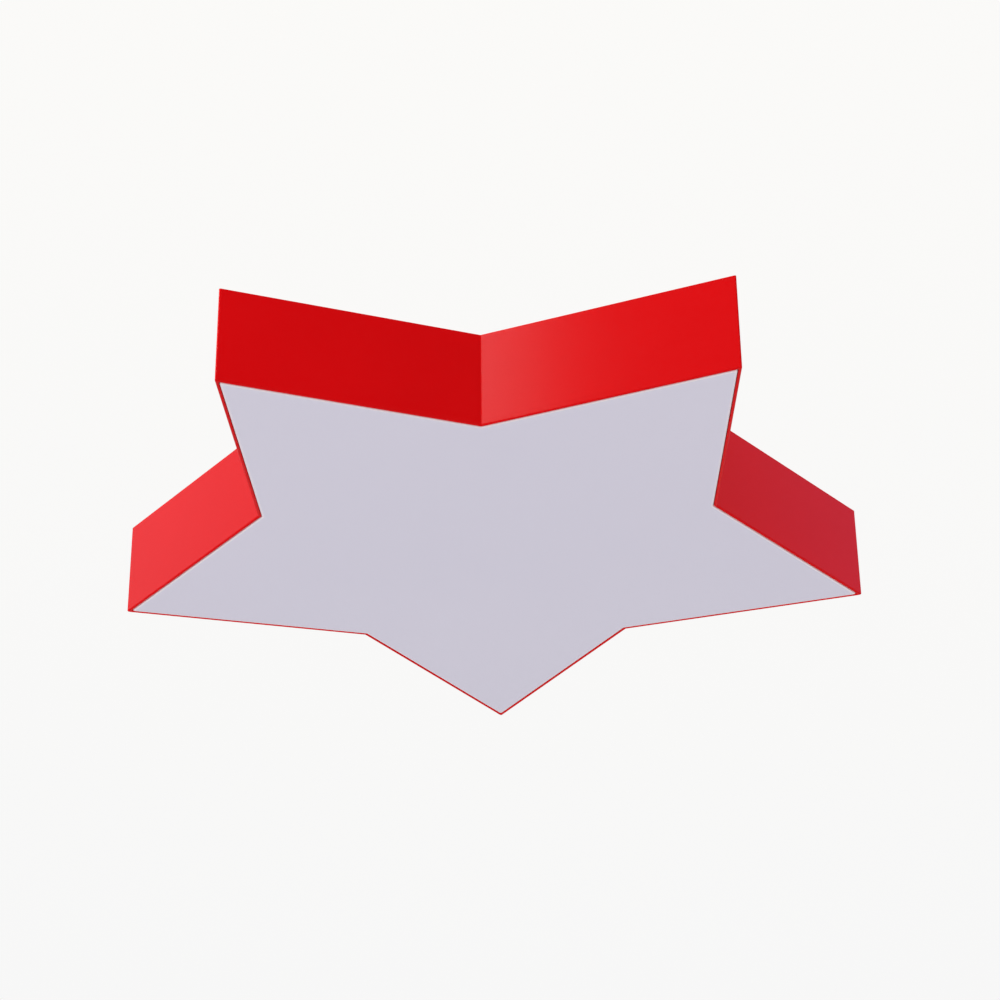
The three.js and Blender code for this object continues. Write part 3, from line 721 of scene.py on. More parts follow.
def striped_finish(name):
    material = lead_finish(name, EARTH_GREEN, EARTH_GREEN)
    tree = material.node_tree
    shader = tree.nodes["Principled BSDF"]
    wave = with_inputs(tree.nodes.new("ShaderNodeTexWave"), Scale=STRIPE_SCALE)
    wave.bands_direction = "DIAGONAL"
    link(tree, object_place(tree), wave.inputs["Vector"])
    edge = with_inputs(tree.nodes.new("ShaderNodeMapRange"), **STRIPE_EDGE)
    link(tree, wave.outputs["Fac"], edge.inputs["Value"])
    mix = colour_mix(tree, A=(*EARTH_GREEN, 1), B=(*EARTH_YELLOW, 1))
    link(tree, edge.outputs[0], mix.inputs["Factor"])
    link(tree, mix.outputs["Result"], shader.inputs["Base Color"])
    return material


earth_lead = striped_finish("green_yellow_sleeve")

# %% [markdown]
# ## Shaping helpers
#
# Three ways of making hardware cover almost everything here. A turned part, such as a screw, is a
# profile spun about its axis. A part whose CAD shape is right but too sharp is a merged copy of its
# CAD node with its edges broken by a bevel. And a strip that repeats round the light is made once on
# the arm that points along +Y, then turned to each arm.

# %% Shaping helpers
Z_AXIS = Vector((0, 0, 1))
MERGE = 0.004 * MM


def spun(profile, steps=32):
    """A solid of revolution about Z from (radius, z) points that start and end on the axis."""
    bm = bmesh.new()
    dots = [bm.verts.new((radius, 0, z)) for radius, z in profile]
    lines = [bm.edges.new(pair) for pair in zip(dots, dots[1:])]
    bmesh.ops.spin(
        bm, geom=dots + lines, cent=(0, 0, 0), axis=Z_AXIS, angle=2 * math.pi, steps=steps,
        use_merge=True,
    )
    bmesh.ops.remove_doubles(bm, verts=bm.verts, dist=MERGE)
    bmesh.ops.recalc_face_normals(bm, faces=bm.faces)
    return bm


def spun_ring(profile, steps=32):
    """A ring of revolution about Z from (radius, z) points; the last point joins the first."""
    return spun([*profile, profile[0]], steps)


def merged_copy(*nodes):
    """CAD nodes as one bmesh with whole flat faces in place of loose triangles."""
    bm = bmesh.new()
    for node in nodes:
        bm.from_mesh(frame["nodes"][node].data)
    bmesh.ops.remove_doubles(bm, verts=bm.verts, dist=MERGE)
    bmesh.ops.dissolve_limit(
        bm, angle_limit=math.radians(1), verts=bm.verts, edges=bm.edges, use_dissolve_boundaries=False,
    )
    return bm


def break_edges(bm, width, segments=2, sharper_than=30, blunter_than=180, chosen=lambda edge: True):
    """Rounds every edge whose two faces turn by an angle between the two limits, in degrees."""
    edges = []
    for edge in bm.edges:
        turn = math.degrees(edge.calc_face_angle(0))
        if sharper_than < turn < blunter_than and chosen(edge):
            edges.append(edge)
    bmesh.ops.bevel(
        bm, geom=edges, offset=width, segments=segments, profile=0.5, affect="EDGES",
        material=-1, clamp_overlap=True,
    )


def put(bm, place=(0, 0, 0), turn=0.0):
    """Turns a shape about Z, then moves it."""
    bmesh.ops.rotate(bm, cent=(0, 0, 0), matrix=Matrix.Rotation(turn, 3, "Z"), verts=bm.verts)
    bmesh.ops.translate(bm, vec=place, verts=bm.verts)
    return bm


def joined(shapes):
    """Several bmesh shapes in one."""
    whole = bmesh.new()
    for shape in shapes:
        mesh = bpy.data.meshes.new("part")
        shape.to_mesh(mesh)
        shape.free()
        whole.from_mesh(mesh)
        bpy.data.meshes.remove(mesh)
    return whole


def block(low, high, edge, segments=2):
    """A box between two corners with its edges rounded."""
    bm = bmesh.new()
    bmesh.ops.create_cube(bm, size=1)
    low, high = Vector(low), Vector(high)
    bmesh.ops.scale(bm, vec=high - low, verts=bm.verts)
    bmesh.ops.translate(bm, vec=(low + high) / 2, verts=bm.verts)
    break_edges(bm, edge, segments)
    return bm


def arm_turn(arm):
    return math.radians(72) * arm


def arm_way(arm):
    return Vector((-math.sin(arm_turn(arm)), math.cos(arm_turn(arm)), 0))


def reach(node, way):
    """How near and how far a CAD node lies along a direction."""
    spots = [v.co.dot(way) for v in frame["nodes"][node].data.vertices]
    return min(spots), max(spots)


def middle(node):
    low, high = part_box(node)
    return (low + high) / 2


print("helpers ready")

# %% [markdown]
# ## Back plate
#
# The back plate is one pressing: a flat star with a turned-down flange, a round stiffening bead
# pressed up towards the ceiling, and pierced holes for the screws, bolts and grommet. Only its outer
# skin is drawn. The outline, the bead's circles and the holes are filled as one flat sheet, and
# solidify then gives the sheet its thickness everywhere, holes and flange included.

# %% Back plate
plate_low, plate_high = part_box("back_plate")
PLATE_SHEET = 1.0 * MM
PLATE_INSET = WALL_DISTANCE * (1 - plate_high.y / TIP_RADIUS)
PLATE_BEND = 1.6 * MM
PLATE_BEND_STEPS = 4
BEAD_RADIUS = 118 * MM
BEAD_WIDTH = 9 * MM
BEAD_HEIGHT = 1.3 * MM
BEAD_SEGMENTS = 96
BEAD_STEPS = 8
SCREW_HOLE = 1.9 * MM
BOLT_HOLE = 2.6 * MM
GROMMET_HOLE = 6.8 * MM
SCREWS = [f"{kind}_screw_{i}" for kind in ("corner", "strip") for i in range(1, 6)]
SCREWS += ["driver_screw_1", "driver_screw_2", "terminal_screw", "earth_screw"]


def ring_edges(bm, radius, z, segments, place=(0, 0)):
    dots = bmesh.ops.create_circle(bm, segments=segments, radius=radius)["verts"]
    bmesh.ops.translate(bm, vec=(place[0], place[1], z), verts=dots)
    return list({edge for dot in dots for edge in dot.link_edges})


def plate_holes():
    holes = [(middle("cable_grommet"), GROMMET_HOLE, 32)]
    for i in (1, 2):
        holes.append((middle(f"bracket_bolt_{i}"), BOLT_HOLE, 16))
    for node in SCREWS:
        holes.append((middle(node), SCREW_HOLE, 16))
    return holes


def back_plate():
    bm = bmesh.new()
    top = plate_high.z
    face = star_face(bm, PLATE_INSET + PLATE_BEND, top)
    outline = list(face.edges)
    bmesh.ops.delete(bm, geom=[face], context="FACES_ONLY")
    route = [(PLATE_INSET + PLATE_BEND, top)]
    for turn in arc(PLATE_BEND_STEPS, 1):
        route.append((
            PLATE_INSET + PLATE_BEND - PLATE_BEND * math.sin(turn),
            top - PLATE_BEND + PLATE_BEND * math.cos(turn),
        ))
    route.append((PLATE_INSET, plate_low.z))
    sweep_star(bm, outline, route)
    radius, height = BEAD_RADIUS + BEAD_WIDTH / 2, 0
    outer = ring_edges(bm, radius, top, BEAD_SEGMENTS)
    inner = outer
    for step in range(1, BEAD_STEPS + 1):
        share = step / BEAD_STEPS
        next_radius = BEAD_RADIUS + BEAD_WIDTH * (0.5 - share)
        next_height = BEAD_HEIGHT * math.sin(math.pi * share) ** 2
        inner = next_loop(bm, inner, next_radius / radius, next_height - height)
        radius, height = next_radius, next_height
    inside, outside = list(inner), [*outline, *outer]
    for place, radius, segments in plate_holes():
        edges = ring_edges(bm, radius, top, segments, place.xy)
        (inside if place.xy.length < BEAD_RADIUS else outside).extend(edges)
    for edges in (inside, outside):
        bmesh.ops.triangle_fill(bm, edges=edges, use_beauty=True, normal=Z_AXIS)
    bmesh.ops.remove_doubles(bm, verts=bm.verts, dist=MERGE)
    bmesh.ops.recalc_face_normals(bm, faces=bm.faces)
    if max(bm.faces, key=lambda f: f.calc_area()).normal.z < 0:
        bmesh.ops.reverse_faces(bm, faces=bm.faces)
    bmesh.ops.solidify(bm, geom=bm.faces, thickness=PLATE_SHEET)
    return piece_from("plate", bm, white_coat, "housing", "plate_white", ["back_plate"])


plate = back_plate()
print("plate faces:", len(plate.data.polygons))

# %% [markdown]
# ## Ceiling bracket and corner brackets
#
# The brackets are punched and folded zinc-plated strip. Their CAD nodes already have every bend and
# slot, so merged copies are used. The folds get a bend radius first, because folded strip can't have
# a sharp inside corner, and then the punched edges are broken.

# %% Brackets
STRAP_BEND = 1.3 * MM
PUNCHED_EDGE = 0.18 * MM


def is_cross_fold(edge):
    way = edge.verts[1].co - edge.verts[0].co
    return abs(way.y) > 20 * MM


def ceiling_strap():
    bm = merged_copy("ceiling_bracket")
    break_edges(bm, STRAP_BEND, 4, 20, 75, is_cross_fold)
    break_edges(bm, PUNCHED_EDGE, 2, 60)
    return piece_from("ceiling_strap", bm, zinc_plate, "housing", "zinc_steel", ["ceiling_bracket"])


ceiling_strap()

WELD_RADIUS = 2.3 * MM
WELD_RISE = 0.22 * MM


def weld_spot(place, way):
    """A shallow dome that spot welding leaves on the inner face of a bracket."""
    bm = bmesh.new()
    bmesh.ops.create_uvsphere(bm, u_segments=20, v_segments=10, radius=WELD_RADIUS)
    bmesh.ops.scale(bm, vec=(1, 1, WELD_RISE / WELD_RADIUS), verts=bm.verts)
    turn = way.to_track_quat("Z", "Y").to_matrix()
    bmesh.ops.rotate(bm, cent=(0, 0, 0), matrix=turn, verts=bm.verts)
    bmesh.ops.translate(bm, vec=place, verts=bm.verts)
    return bm


def corner_piece(i):
    node = f"corner_bracket_{i}"
    bm = merged_copy(node)
    walls = [f for f in bm.faces if abs(f.normal.z) < 0.1 and f.calc_area() > 100 * MM * MM]
    inner = [f for f in walls if f.normal.dot(f.calc_center_median()) < 0]
    spots = []
    for face in inner:
        spots.append(weld_spot(face.calc_center_median() + Vector((0, 0, 1 * MM)), face.normal))
    break_edges(bm, PUNCHED_EDGE, 2, 50)
    whole = joined([bm, *spots])
    piece_from(f"corner_{i}", whole, zinc_plate, "housing", "zinc_steel", [node])
    return len(spots)


print("welds on each corner bracket:", [corner_piece(i) for i in range(1, 6)])

# %% [markdown]
# ## Screws, bolts and nuts
#
# All the screws are the same pan-head screw in different lengths. Its head and thread are one
# turned profile, and the cross recess is a twelve-sided circle whose every third corner is pulled in
# to make a plus, sunk into the flat of the head. The thread is a stack of rings rather than a helix:
# at this size nobody can tell, and rings close on themselves.

# %% Pan-head screws
HEAD_RADIUS = 3.2 * MM
HEAD_HEIGHT = 1.9 * MM
HEAD_FLAT = 0.6
HEAD_EDGE = 0.45
HEAD_ARC_STEPS = 5
SHANK_RADIUS = 1.6 * MM
THREAD_DEPTH = 0.32 * MM
THREAD_PITCH = 1.0 * MM
RECESS_RADIUS = 1.55 * MM
RECESS_DEPTH = 1.0 * MM
RECESS_NECK = 0.366
RECESS_TAPER = 0.7
RECESS_TURN = math.radians(15)


def thread(radius, depth, pitch, low, high):
    """Profile points that zigzag between a thread's root and its crest, going up."""
    turns = max(1, round((high - low) / pitch))
    step = (high - low) / turns
    points = []
    for turn in range(turns):
        base = low + turn * step
        points += [(radius - depth, base), (radius, base + 0.4 * step), (radius, base + 0.6 * step)]
    return [*points, (radius - depth, high)]


def head_profile():
    """From the edge of the head's flat round to its seat, with the head down."""
    flat = HEAD_FLAT * HEAD_RADIUS
    edge = HEAD_EDGE * HEAD_HEIGHT
    points = []
    for turn in arc(HEAD_ARC_STEPS):
        points.append((
            flat + (HEAD_RADIUS - flat) * math.sin(turn),
            -edge - (HEAD_HEIGHT - edge) * math.cos(turn),
        ))
    return [*points, (HEAD_RADIUS, -0.1 * MM), (HEAD_RADIUS - 0.1 * MM, 0), (SHANK_RADIUS, 0)]


def pan_screw(length, turn):
    bm = bmesh.new()
    tip = [(0.35 * SHANK_RADIUS, length - 0.1 * MM), (0, length)]
    worm = thread(SHANK_RADIUS, THREAD_DEPTH, THREAD_PITCH, 0.1 * MM, length - SHANK_RADIUS)
    profile = [*head_profile(), *worm, *tip]
    dots = [bm.verts.new((radius, 0, z)) for radius, z in profile]
    lines = [bm.edges.new(pair) for pair in zip(dots, dots[1:])]
    bmesh.ops.spin(
        bm, geom=dots + lines, cent=(0, 0, 0), axis=Z_AXIS, angle=2 * math.pi, steps=24,
        use_merge=True,
    )
    bmesh.ops.remove_doubles(bm, verts=bm.verts, dist=MERGE)
    rim = [edge for edge in bm.edges if edge.is_boundary]
    plus = bmesh.ops.create_circle(bm, segments=12, radius=RECESS_RADIUS)["verts"]
    level = Matrix.Rotation(RECESS_TURN, 3, "Z")
    bmesh.ops.rotate(bm, cent=(0, 0, 0), matrix=level, verts=plus)
    bmesh.ops.scale(bm, vec=(RECESS_NECK, RECESS_NECK, 1), verts=plus[1::3])
    bmesh.ops.translate(bm, vec=(0, 0, -HEAD_HEIGHT), verts=plus)
    mouth = list({edge for dot in plus for edge in dot.link_edges})
    bmesh.ops.triangle_fill(bm, edges=rim + mouth, use_beauty=True, normal=-Z_AXIS)
    bmesh.ops.edgeloop_fill(bm, edges=next_loop(bm, mouth, RECESS_TAPER, RECESS_DEPTH))
    bmesh.ops.recalc_face_normals(bm, faces=bm.faces)
    return put(bm, turn=turn)


def place_screws():
    turns = random.Random(7)
    for node in SCREWS:
        low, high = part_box(node)
        seat = low.z + HEAD_HEIGHT
        bm = pan_screw(high.z - seat, turns.uniform(0, math.pi))
        put(bm, (*middle(node).xy, seat))
        piece_from(f"{node}_piece", bm, screw_zinc, "housing", "screw_steel", [node])


place_screws()
print("screws:", len(SCREWS))

# %% Bracket bolts, lock nuts and cap nuts
BOLT_RADIUS = 2.0 * MM
BOLT_PITCH = 0.7 * MM
BOLT_THREAD = 0.28 * MM
BOLT_HEAD = 1.8 * MM
BOLT_HEAD_RADIUS = 4.0 * MM
NUT_BORE = 2.15 * MM
NUT_CHAMFER = 0.35 * MM
KNURLS = 40
KNURL_DEPTH = 0.07
KNURL_EDGE = 0.8 * MM
CAP_HEIGHT = 8 * MM
CAP_DOME = 3.5 * MM
DOME_SHARE = 0.94
DOME_STEPS = 7


def hexagon(radius, low, high, chamfer):
    bm = bmesh.new()
    bmesh.ops.create_circle(bm, cap_ends=True, segments=6, radius=radius)
    bmesh.ops.translate(bm, vec=(0, 0, low), verts=bm.verts)
    made = bmesh.ops.extrude_face_region(bm, geom=list(bm.faces))["geom"]
    bmesh.ops.translate(bm, vec=(0, 0, high - low), verts=[g for g in made if is_vert(g)])
    bmesh.ops.recalc_face_normals(bm, faces=bm.faces)
    break_edges(bm, chamfer, 2, 40)
    return bm


def bracket_bolt(i):
    node = f"bracket_bolt_{i}"
    low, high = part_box(node)
    neck = high.z - BOLT_HEAD
    worm = thread(BOLT_RADIUS, BOLT_THREAD, BOLT_PITCH, low.z + 0.3 * MM, neck - 1 * MM)
    tip = BOLT_RADIUS - 2 * BOLT_THREAD
    plain = [(BOLT_RADIUS, neck - 0.8 * MM), (BOLT_RADIUS, neck), (0, neck)]
    shank = spun([(0, low.z), (tip, low.z), *worm, *plain], 24)
    bm = joined([hexagon(BOLT_HEAD_RADIUS, neck, high.z, 0.3 * MM), shank])
    put(bm, (middle(node).x, 0, 0))
    piece_from(f"bolt_{i}", bm, screw_zinc, "housing", "screw_steel", [node])


def lock_nut(i):
    node = f"lock_nut_{i}"
    low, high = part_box(node)
    bm = bmesh.new()
    outline = bmesh.ops.create_circle(bm, segments=6, radius=high.x - middle(node).x)["verts"]
    bore = bmesh.ops.create_circle(bm, segments=24, radius=NUT_BORE)["verts"]
    edges = list({edge for dot in outline + bore for edge in dot.link_edges})
    bmesh.ops.triangle_fill(bm, edges=edges, use_beauty=True, normal=Z_AXIS)
    made = bmesh.ops.extrude_face_region(bm, geom=list(bm.faces))["geom"]
    bmesh.ops.translate(bm, vec=(0, 0, high.z - low.z), verts=[g for g in made if is_vert(g)])
    bmesh.ops.recalc_face_normals(bm, faces=bm.faces)
    break_edges(bm, NUT_CHAMFER, 2, 40)
    put(bm, (middle(node).x, 0, low.z))
    piece_from(f"lock_nut_{i}_piece", bm, screw_zinc, "housing", "screw_steel", [node])


def cap_nut(i):
    """A domed nut with a knurled grip; its flat end is up."""
    node = f"cap_nut_{i}"
    low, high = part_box(node)
    radius = (high.x - low.x) / 2
    bm = bmesh.new()
    dots = bmesh.ops.create_circle(bm, segments=2 * KNURLS, radius=radius)["verts"]
    shrink = 1 - KNURL_DEPTH
    bmesh.ops.scale(bm, vec=(shrink, shrink, 1), verts=dots[1::2])
    bmesh.ops.translate(bm, vec=(0, 0, -KNURL_EDGE), verts=dots)
    edges = list({edge for dot in dots for edge in dot.link_edges})
    flat = next_loop(bm, edges, shrink, KNURL_EDGE)
    bore = ring_edges(bm, NUT_BORE, 0, 24)
    bmesh.ops.triangle_fill(bm, edges=flat + bore, use_beauty=True, normal=Z_AXIS)
    bmesh.ops.edgeloop_fill(bm, edges=next_loop(bm, bore, 1, -CAP_HEIGHT))
    span, z = radius, -KNURL_EDGE
    steps = [(radius, KNURL_EDGE - CAP_HEIGHT), (shrink * radius, -CAP_HEIGHT)]
    foot = DOME_SHARE * shrink * radius
    for turn in arc(DOME_STEPS, 1)[:-1]:
        steps.append((foot * math.cos(turn), -CAP_HEIGHT - CAP_DOME * math.sin(turn)))
    for next_span, next_z in steps:
        edges = next_loop(bm, edges, next_span / span, next_z - z)
        span, z = next_span, next_z
    bmesh.ops.edgeloop_fill(bm, edges=edges)
    bmesh.ops.recalc_face_normals(bm, faces=bm.faces)
    put(bm, (middle(node).x, 0, high.z))
    piece_from(f"cap_nut_{i}_piece", bm, nickel, f"nut_{i}", "nut_nickel", [node], smooth_angle=24)


for number in (1, 2):
    bracket_bolt(number)
    lock_nut(number)
    cap_nut(number)
print("bolts and nuts made")

# %% [markdown]
# ## Cable grommet
#
# The supply cable comes through a moulded rubber grommet, pushed into the plate until the groove
# round its neck snaps over the edge of the hole. It is a plain turned ring, so its rounded profile is
# spun once.

# %% Cable grommet
GROMMET_BORE = 4.0 * MM
GROMMET_NECK = 6.5 * MM
GROMMET_TOP = 8.5 * MM
LIP_ROUND = 0.7 * MM


def cable_grommet():
    low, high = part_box("cable_grommet")
    outside = (high.x - low.x) / 2
    over = plate_high.z
    under = over - PLATE_SHEET
    bead = 0.3 * MM
    bm = spun_ring([
        (GROMMET_BORE + LIP_ROUND, low.z),
        (outside - 1.5 * MM, low.z),
        (outside - LIP_ROUND, low.z + 0.35 * MM),
        (outside, under - bead - LIP_ROUND / 3),
        (outside - 0.2 * MM, under - bead),
        (GROMMET_NECK, under - bead),
        (GROMMET_NECK, over + bead),
        (GROMMET_TOP - 0.2 * MM, over + bead),
        (GROMMET_TOP, over + bead + 0.3 * MM),
        (GROMMET_TOP - 1.0 * MM, high.z - 0.3 * MM),
        (GROMMET_TOP - 1.6 * MM, high.z),
        (GROMMET_BORE + LIP_ROUND, high.z),
        (GROMMET_BORE + 0.2 * LIP_ROUND, high.z - 0.2 * MM),
        (GROMMET_BORE, high.z - LIP_ROUND),
        (GROMMET_BORE, low.z + LIP_ROUND),
        (GROMMET_BORE + 0.2 * LIP_ROUND, low.z + 0.2 * MM),
    ], 40)
    put(bm, (*middle("cable_grommet").xy, 0))
    piece_from("grommet", bm, rubber, "housing", "grommet_rubber", ["cable_grommet"], 50)


cable_grommet()

# %% [markdown]
# ## LED strips
#
# Each arm has an aluminium board with a white solder mask, and six LEDs under domed lenses that
# spread the light over the diffuser. One mesh could be shared by all the lenses, but each is spun
# and turned with its arm here, so that a strip's lenses join into one piece. Tinned pads, each with
# a small mound of solder, are where the leads join the board.

# %% LED strips
LENSES = 6
LENS_RADIUS = 4.6 * MM
LENS_HEIGHT = 3.6 * MM
LENS_STEPS = 8
LENS_DIMPLE = 0.7 * MM
DIMPLE_EDGE = 0.93
LENS_FOOT = 0.5 * MM
CHIP = (3.5 * MM, 2.8 * MM, 0.8 * MM)
PAD = (2.6 * MM, 3.4 * MM, 0.06 * MM)
PAD_FROM_SIDE = 1.7 * MM
PAD_FROM_END = 8 * MM
JOINT_FROM_END = 1.9 * MM
SOLDER_RADIUS = 1.15 * MM
board_low, board_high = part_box("led_strip_1")


def hung(bm):
    """Turns a shape that stands on z = 0 over, so that it hangs under the board."""
    bmesh.ops.rotate(bm, cent=(0, 0, 0), matrix=Matrix.Rotation(math.pi, 3, "Y"), verts=bm.verts)
    bmesh.ops.translate(bm, vec=(0, 0, board_low.z), verts=bm.verts)
    return bm


def lens():
    brim = LENS_FOOT + 0.3 * MM
    profile = [(0, LENS_FOOT), (LENS_RADIUS - 0.5 * MM, LENS_FOOT), (LENS_RADIUS, brim)]
    for turn in arc(LENS_STEPS, 1):
        rise = brim + (LENS_HEIGHT - LENS_FOOT) * math.sin(turn)
        dimple = LENS_DIMPLE * max(0, math.sin(turn) - DIMPLE_EDGE) / (1 - DIMPLE_EDGE)
        profile.append((LENS_RADIUS * math.cos(turn), rise - dimple))
    return hung(spun(profile, 24))


def solder(place):
    bm = bmesh.new()
    bmesh.ops.create_uvsphere(bm, u_segments=16, v_segments=10, radius=SOLDER_RADIUS)
    bmesh.ops.scale(bm, vec=(1, 1.15, 0.75), verts=bm.verts)
    bmesh.ops.bisect_plane(
        bm, geom=[*bm.verts, *bm.edges, *bm.faces], plane_co=(0, 0, 0), plane_no=Z_AXIS,
        clear_inner=True,
    )
    bmesh.ops.holes_fill(bm, edges=bm.edges)
    return put(hung(bm), place)


def centred_block(size, edge, segments=1):
    half_x, half_y = size[0] / 2, size[1] / 2
    return block((-half_x, -half_y, 0), (half_x, half_y, size[2]), edge, segments)


def led_arm(arm):
    node = f"led_strip_{arm + 1}"
    near, far = reach(node, arm_way(arm))
    side = (board_high.x - board_low.x) / 2
    turn = arm_turn(arm)
    bm = merged_copy(node)
    break_edges(bm, 0.12 * MM, 1, 60)
    piece_from(f"led_board_{arm + 1}", bm, board_mask, "housing", "led_board", [node])
    stops = [near + (far - near) * (k + 0.5) / LENSES for k in range(LENSES)]
    domes = [put(put(lens(), (0, stop, 0)), turn=turn) for stop in stops]
    piece_from(f"lenses_{arm + 1}", joined(domes), lens_plastic, "housing", "opal_acrylic")
    chips = []
    for stop in stops:
        chip = hung(centred_block((CHIP[0], CHIP[1], CHIP[2] / 2), 0.1 * MM))
        chips.append(put(put(chip, (0, stop, 0)), turn=turn))
    piece_from(f"led_chips_{arm + 1}", joined(chips), phosphor, "housing", "led_board")
    spots = [(way * (side - PAD_FROM_SIDE), near + PAD_FROM_END) for way in (1, -1)]
    if arm in (0, 1):
        spots.append((0, near + JOINT_FROM_END))
    pads = []
    for x, y in spots:
        pads.append(put(put(hung(centred_block(PAD, 0.02 * MM)), (x, y, 0)), turn=turn))
        pads.append(put(solder((x, y, -PAD[2])), turn=turn))
    piece_from(f"pads_{arm + 1}", joined(pads), tinned, "housing", "tag_tin")


for arm_number in range(5):
    led_arm(arm_number)
print("lenses:", 5 * LENSES)

# %% [markdown]
# ## Driver, terminal block and earth tag
#
# The driver is a potted supply in a moulded shell, with a lid whose seam runs all round it. The
# shell's CAD shape is right, so it is a merged copy cut by two close planes, and the narrow band
# between them is pressed in as the seam. The terminal block gets the brass screws and wire holes
# that make it a terminal block.

# %% Driver
SEAM_DEPTH = 0.35 * MM
SEAM_WIDTH = 0.5 * MM
LID_SHARE = 0.32
PANEL_BORDER = 5 * MM
PANEL_SLOPE = 0.4 * MM
PANEL_SINK = 0.35 * MM
SHELL_EDGE = 0.5 * MM
driver_low, driver_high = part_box("led_driver")


def cut_across(bm, z):
    geometry = [*bm.verts, *bm.edges, *bm.faces]
    bmesh.ops.bisect_plane(bm, geom=geometry, dist=MERGE, plane_co=(0, 0, z), plane_no=Z_AXIS)


def stepped_in(bm, face, border, rise):
    """Draws a face's outline in by a border on every side, moves it up, and returns the new face."""
    centre = face.calc_center_median()
    made = bmesh.ops.extrude_face_region(bm, geom=[face])["geom"]
    if face.is_valid:
        bmesh.ops.delete(bm, geom=[face], context="FACES_ONLY")
    dots = [g for g in made if is_vert(g)]
    half_x = max(abs(dot.co.x - centre.x) for dot in dots)
    half_y = max(abs(dot.co.y - centre.y) for dot in dots)
    bmesh.ops.scale(
        bm, vec=(1 - border / half_x, 1 - border / half_y, 1), verts=dots,
        space=Matrix.Translation(-centre),
    )
    bmesh.ops.translate(bm, vec=(0, 0, rise), verts=dots)
    return next(g for g in made if isinstance(g, bmesh.types.BMFace))


def sink(bm, faces, depth):
    """Presses a band of faces in, with walls that stand almost straight."""
    bmesh.ops.inset_region(
        bm, faces=faces, thickness=0.01 * MM, depth=-depth, use_even_offset=True,
    )


def driver_body():
    bm = merged_copy("led_driver")
    lid = max((f for f in bm.faces if f.normal.z < -0.99), key=lambda f: f.calc_area())
    lid = stepped_in(bm, lid, PANEL_BORDER, 0)
    stepped_in(bm, lid, PANEL_SLOPE, PANEL_SINK)
    break_edges(bm, SHELL_EDGE, 3, 60)
    seam = driver_low.z + LID_SHARE * (driver_high.z - driver_low.z)
    for z in (seam, seam + SEAM_WIDTH):
        cut_across(bm, z)
    band = [f for f in bm.faces if seam < f.calc_center_median().z < seam + SEAM_WIDTH]
    sink(bm, band, SEAM_DEPTH)
    piece_from("driver", bm, driver_shell, "housing", "driver_plastic", ["led_driver"], 40)


driver_body()

# %% Terminal block and earth tag
BLOCK_EDGE = 0.4 * MM
COLLAR_RADIUS = 2.5 * MM
COLLAR_BORE = 1.9 * MM
COLLAR_HEIGHT = 0.5 * MM
COLLAR_SPREAD = 5.2 * MM
CLAMP_SCREW = 1.75 * MM
CLAMP_RISE = 0.35 * MM
SLOT_WIDTH = 0.5 * MM
SLOT_DEPTH = 0.22 * MM
MOUTH_DROP = 6 * MM
POLES = 3
block_low, block_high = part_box("terminal_block")


def collar():
    return spun_ring([
        (COLLAR_BORE, 0), (COLLAR_RADIUS, 0), (COLLAR_RADIUS - 0.15 * MM, COLLAR_HEIGHT),
        (COLLAR_BORE + 0.1 * MM, COLLAR_HEIGHT),
    ], 24)


def clamp_screw():
    """A small brass screw head with a slot across it."""
    bm = spun([
        (0, 0), (CLAMP_SCREW, 0), (CLAMP_SCREW, CLAMP_RISE - 0.1 * MM),
        (CLAMP_SCREW - 0.1 * MM, CLAMP_RISE), (0, CLAMP_RISE),
    ], 24)
    for side in (-1, 1):
        bmesh.ops.bisect_plane(
            bm, geom=[*bm.verts, *bm.edges, *bm.faces], dist=MERGE,
            plane_co=(0, side * SLOT_WIDTH / 2, 0), plane_no=(0, 1, 0),
        )
    strip = [
        f for f in bm.faces
        if f.normal.z > 0.9 and abs(f.calc_center_median().y) < SLOT_WIDTH / 2
    ]
    sink(bm, strip, SLOT_DEPTH)
    return bm


def terminal_block():
    bm = merged_copy("terminal_block")
    break_edges(bm, BLOCK_EDGE, 2, 60)
    centre = middle("terminal_block")
    length = block_high.y - block_low.y
    collars, clamps = [bm], []
    for pole in range(POLES):
        y = centre.y + length * ((pole + 0.5) / POLES - 0.5)
        for side in (-1, 1):
            place = (centre.x + side * COLLAR_SPREAD, y, block_low.z - board_low.z)
            collars.append(put(hung(collar()), place))
            clamps.append(put(hung(clamp_screw()), place))
        mouth = collar()
        sideways = Matrix.Rotation(-math.pi / 2, 3, "Y")
        bmesh.ops.rotate(mouth, cent=(0, 0, 0), matrix=sideways, verts=mouth.verts)
        collars.append(put(mouth, (block_low.x, y, plate_high.z - PLATE_SHEET - MOUTH_DROP)))
    piece_from("terminal", joined(collars), nylon, "housing", "terminal_plastic", ["terminal_block"], 40)
    piece_from("terminal_clamps", joined(clamps), brass, "housing", "tag_tin")


terminal_block()


def tag_piece():
    bm = merged_copy("earth_tag")
    break_edges(bm, 0.12 * MM, 2, 60)
    piece_from("tag", bm, tinned, "housing", "tag_tin", ["earth_tag"], 40)


tag_piece()
print("driver, terminal block and tag made")

# %% [markdown]
# ## Leads
#
# The leads keep the routes that the frame gives them. A merged copy of each is rounded by a
# Subdivision Surface modifier, after its two end faces are inset, so that they stay nearly flat
# cuts. A curve with a round bevel could make a lead too, but the routes are in the frame already. A
# short bare end runs on from each cut into whatever the lead is fixed in.

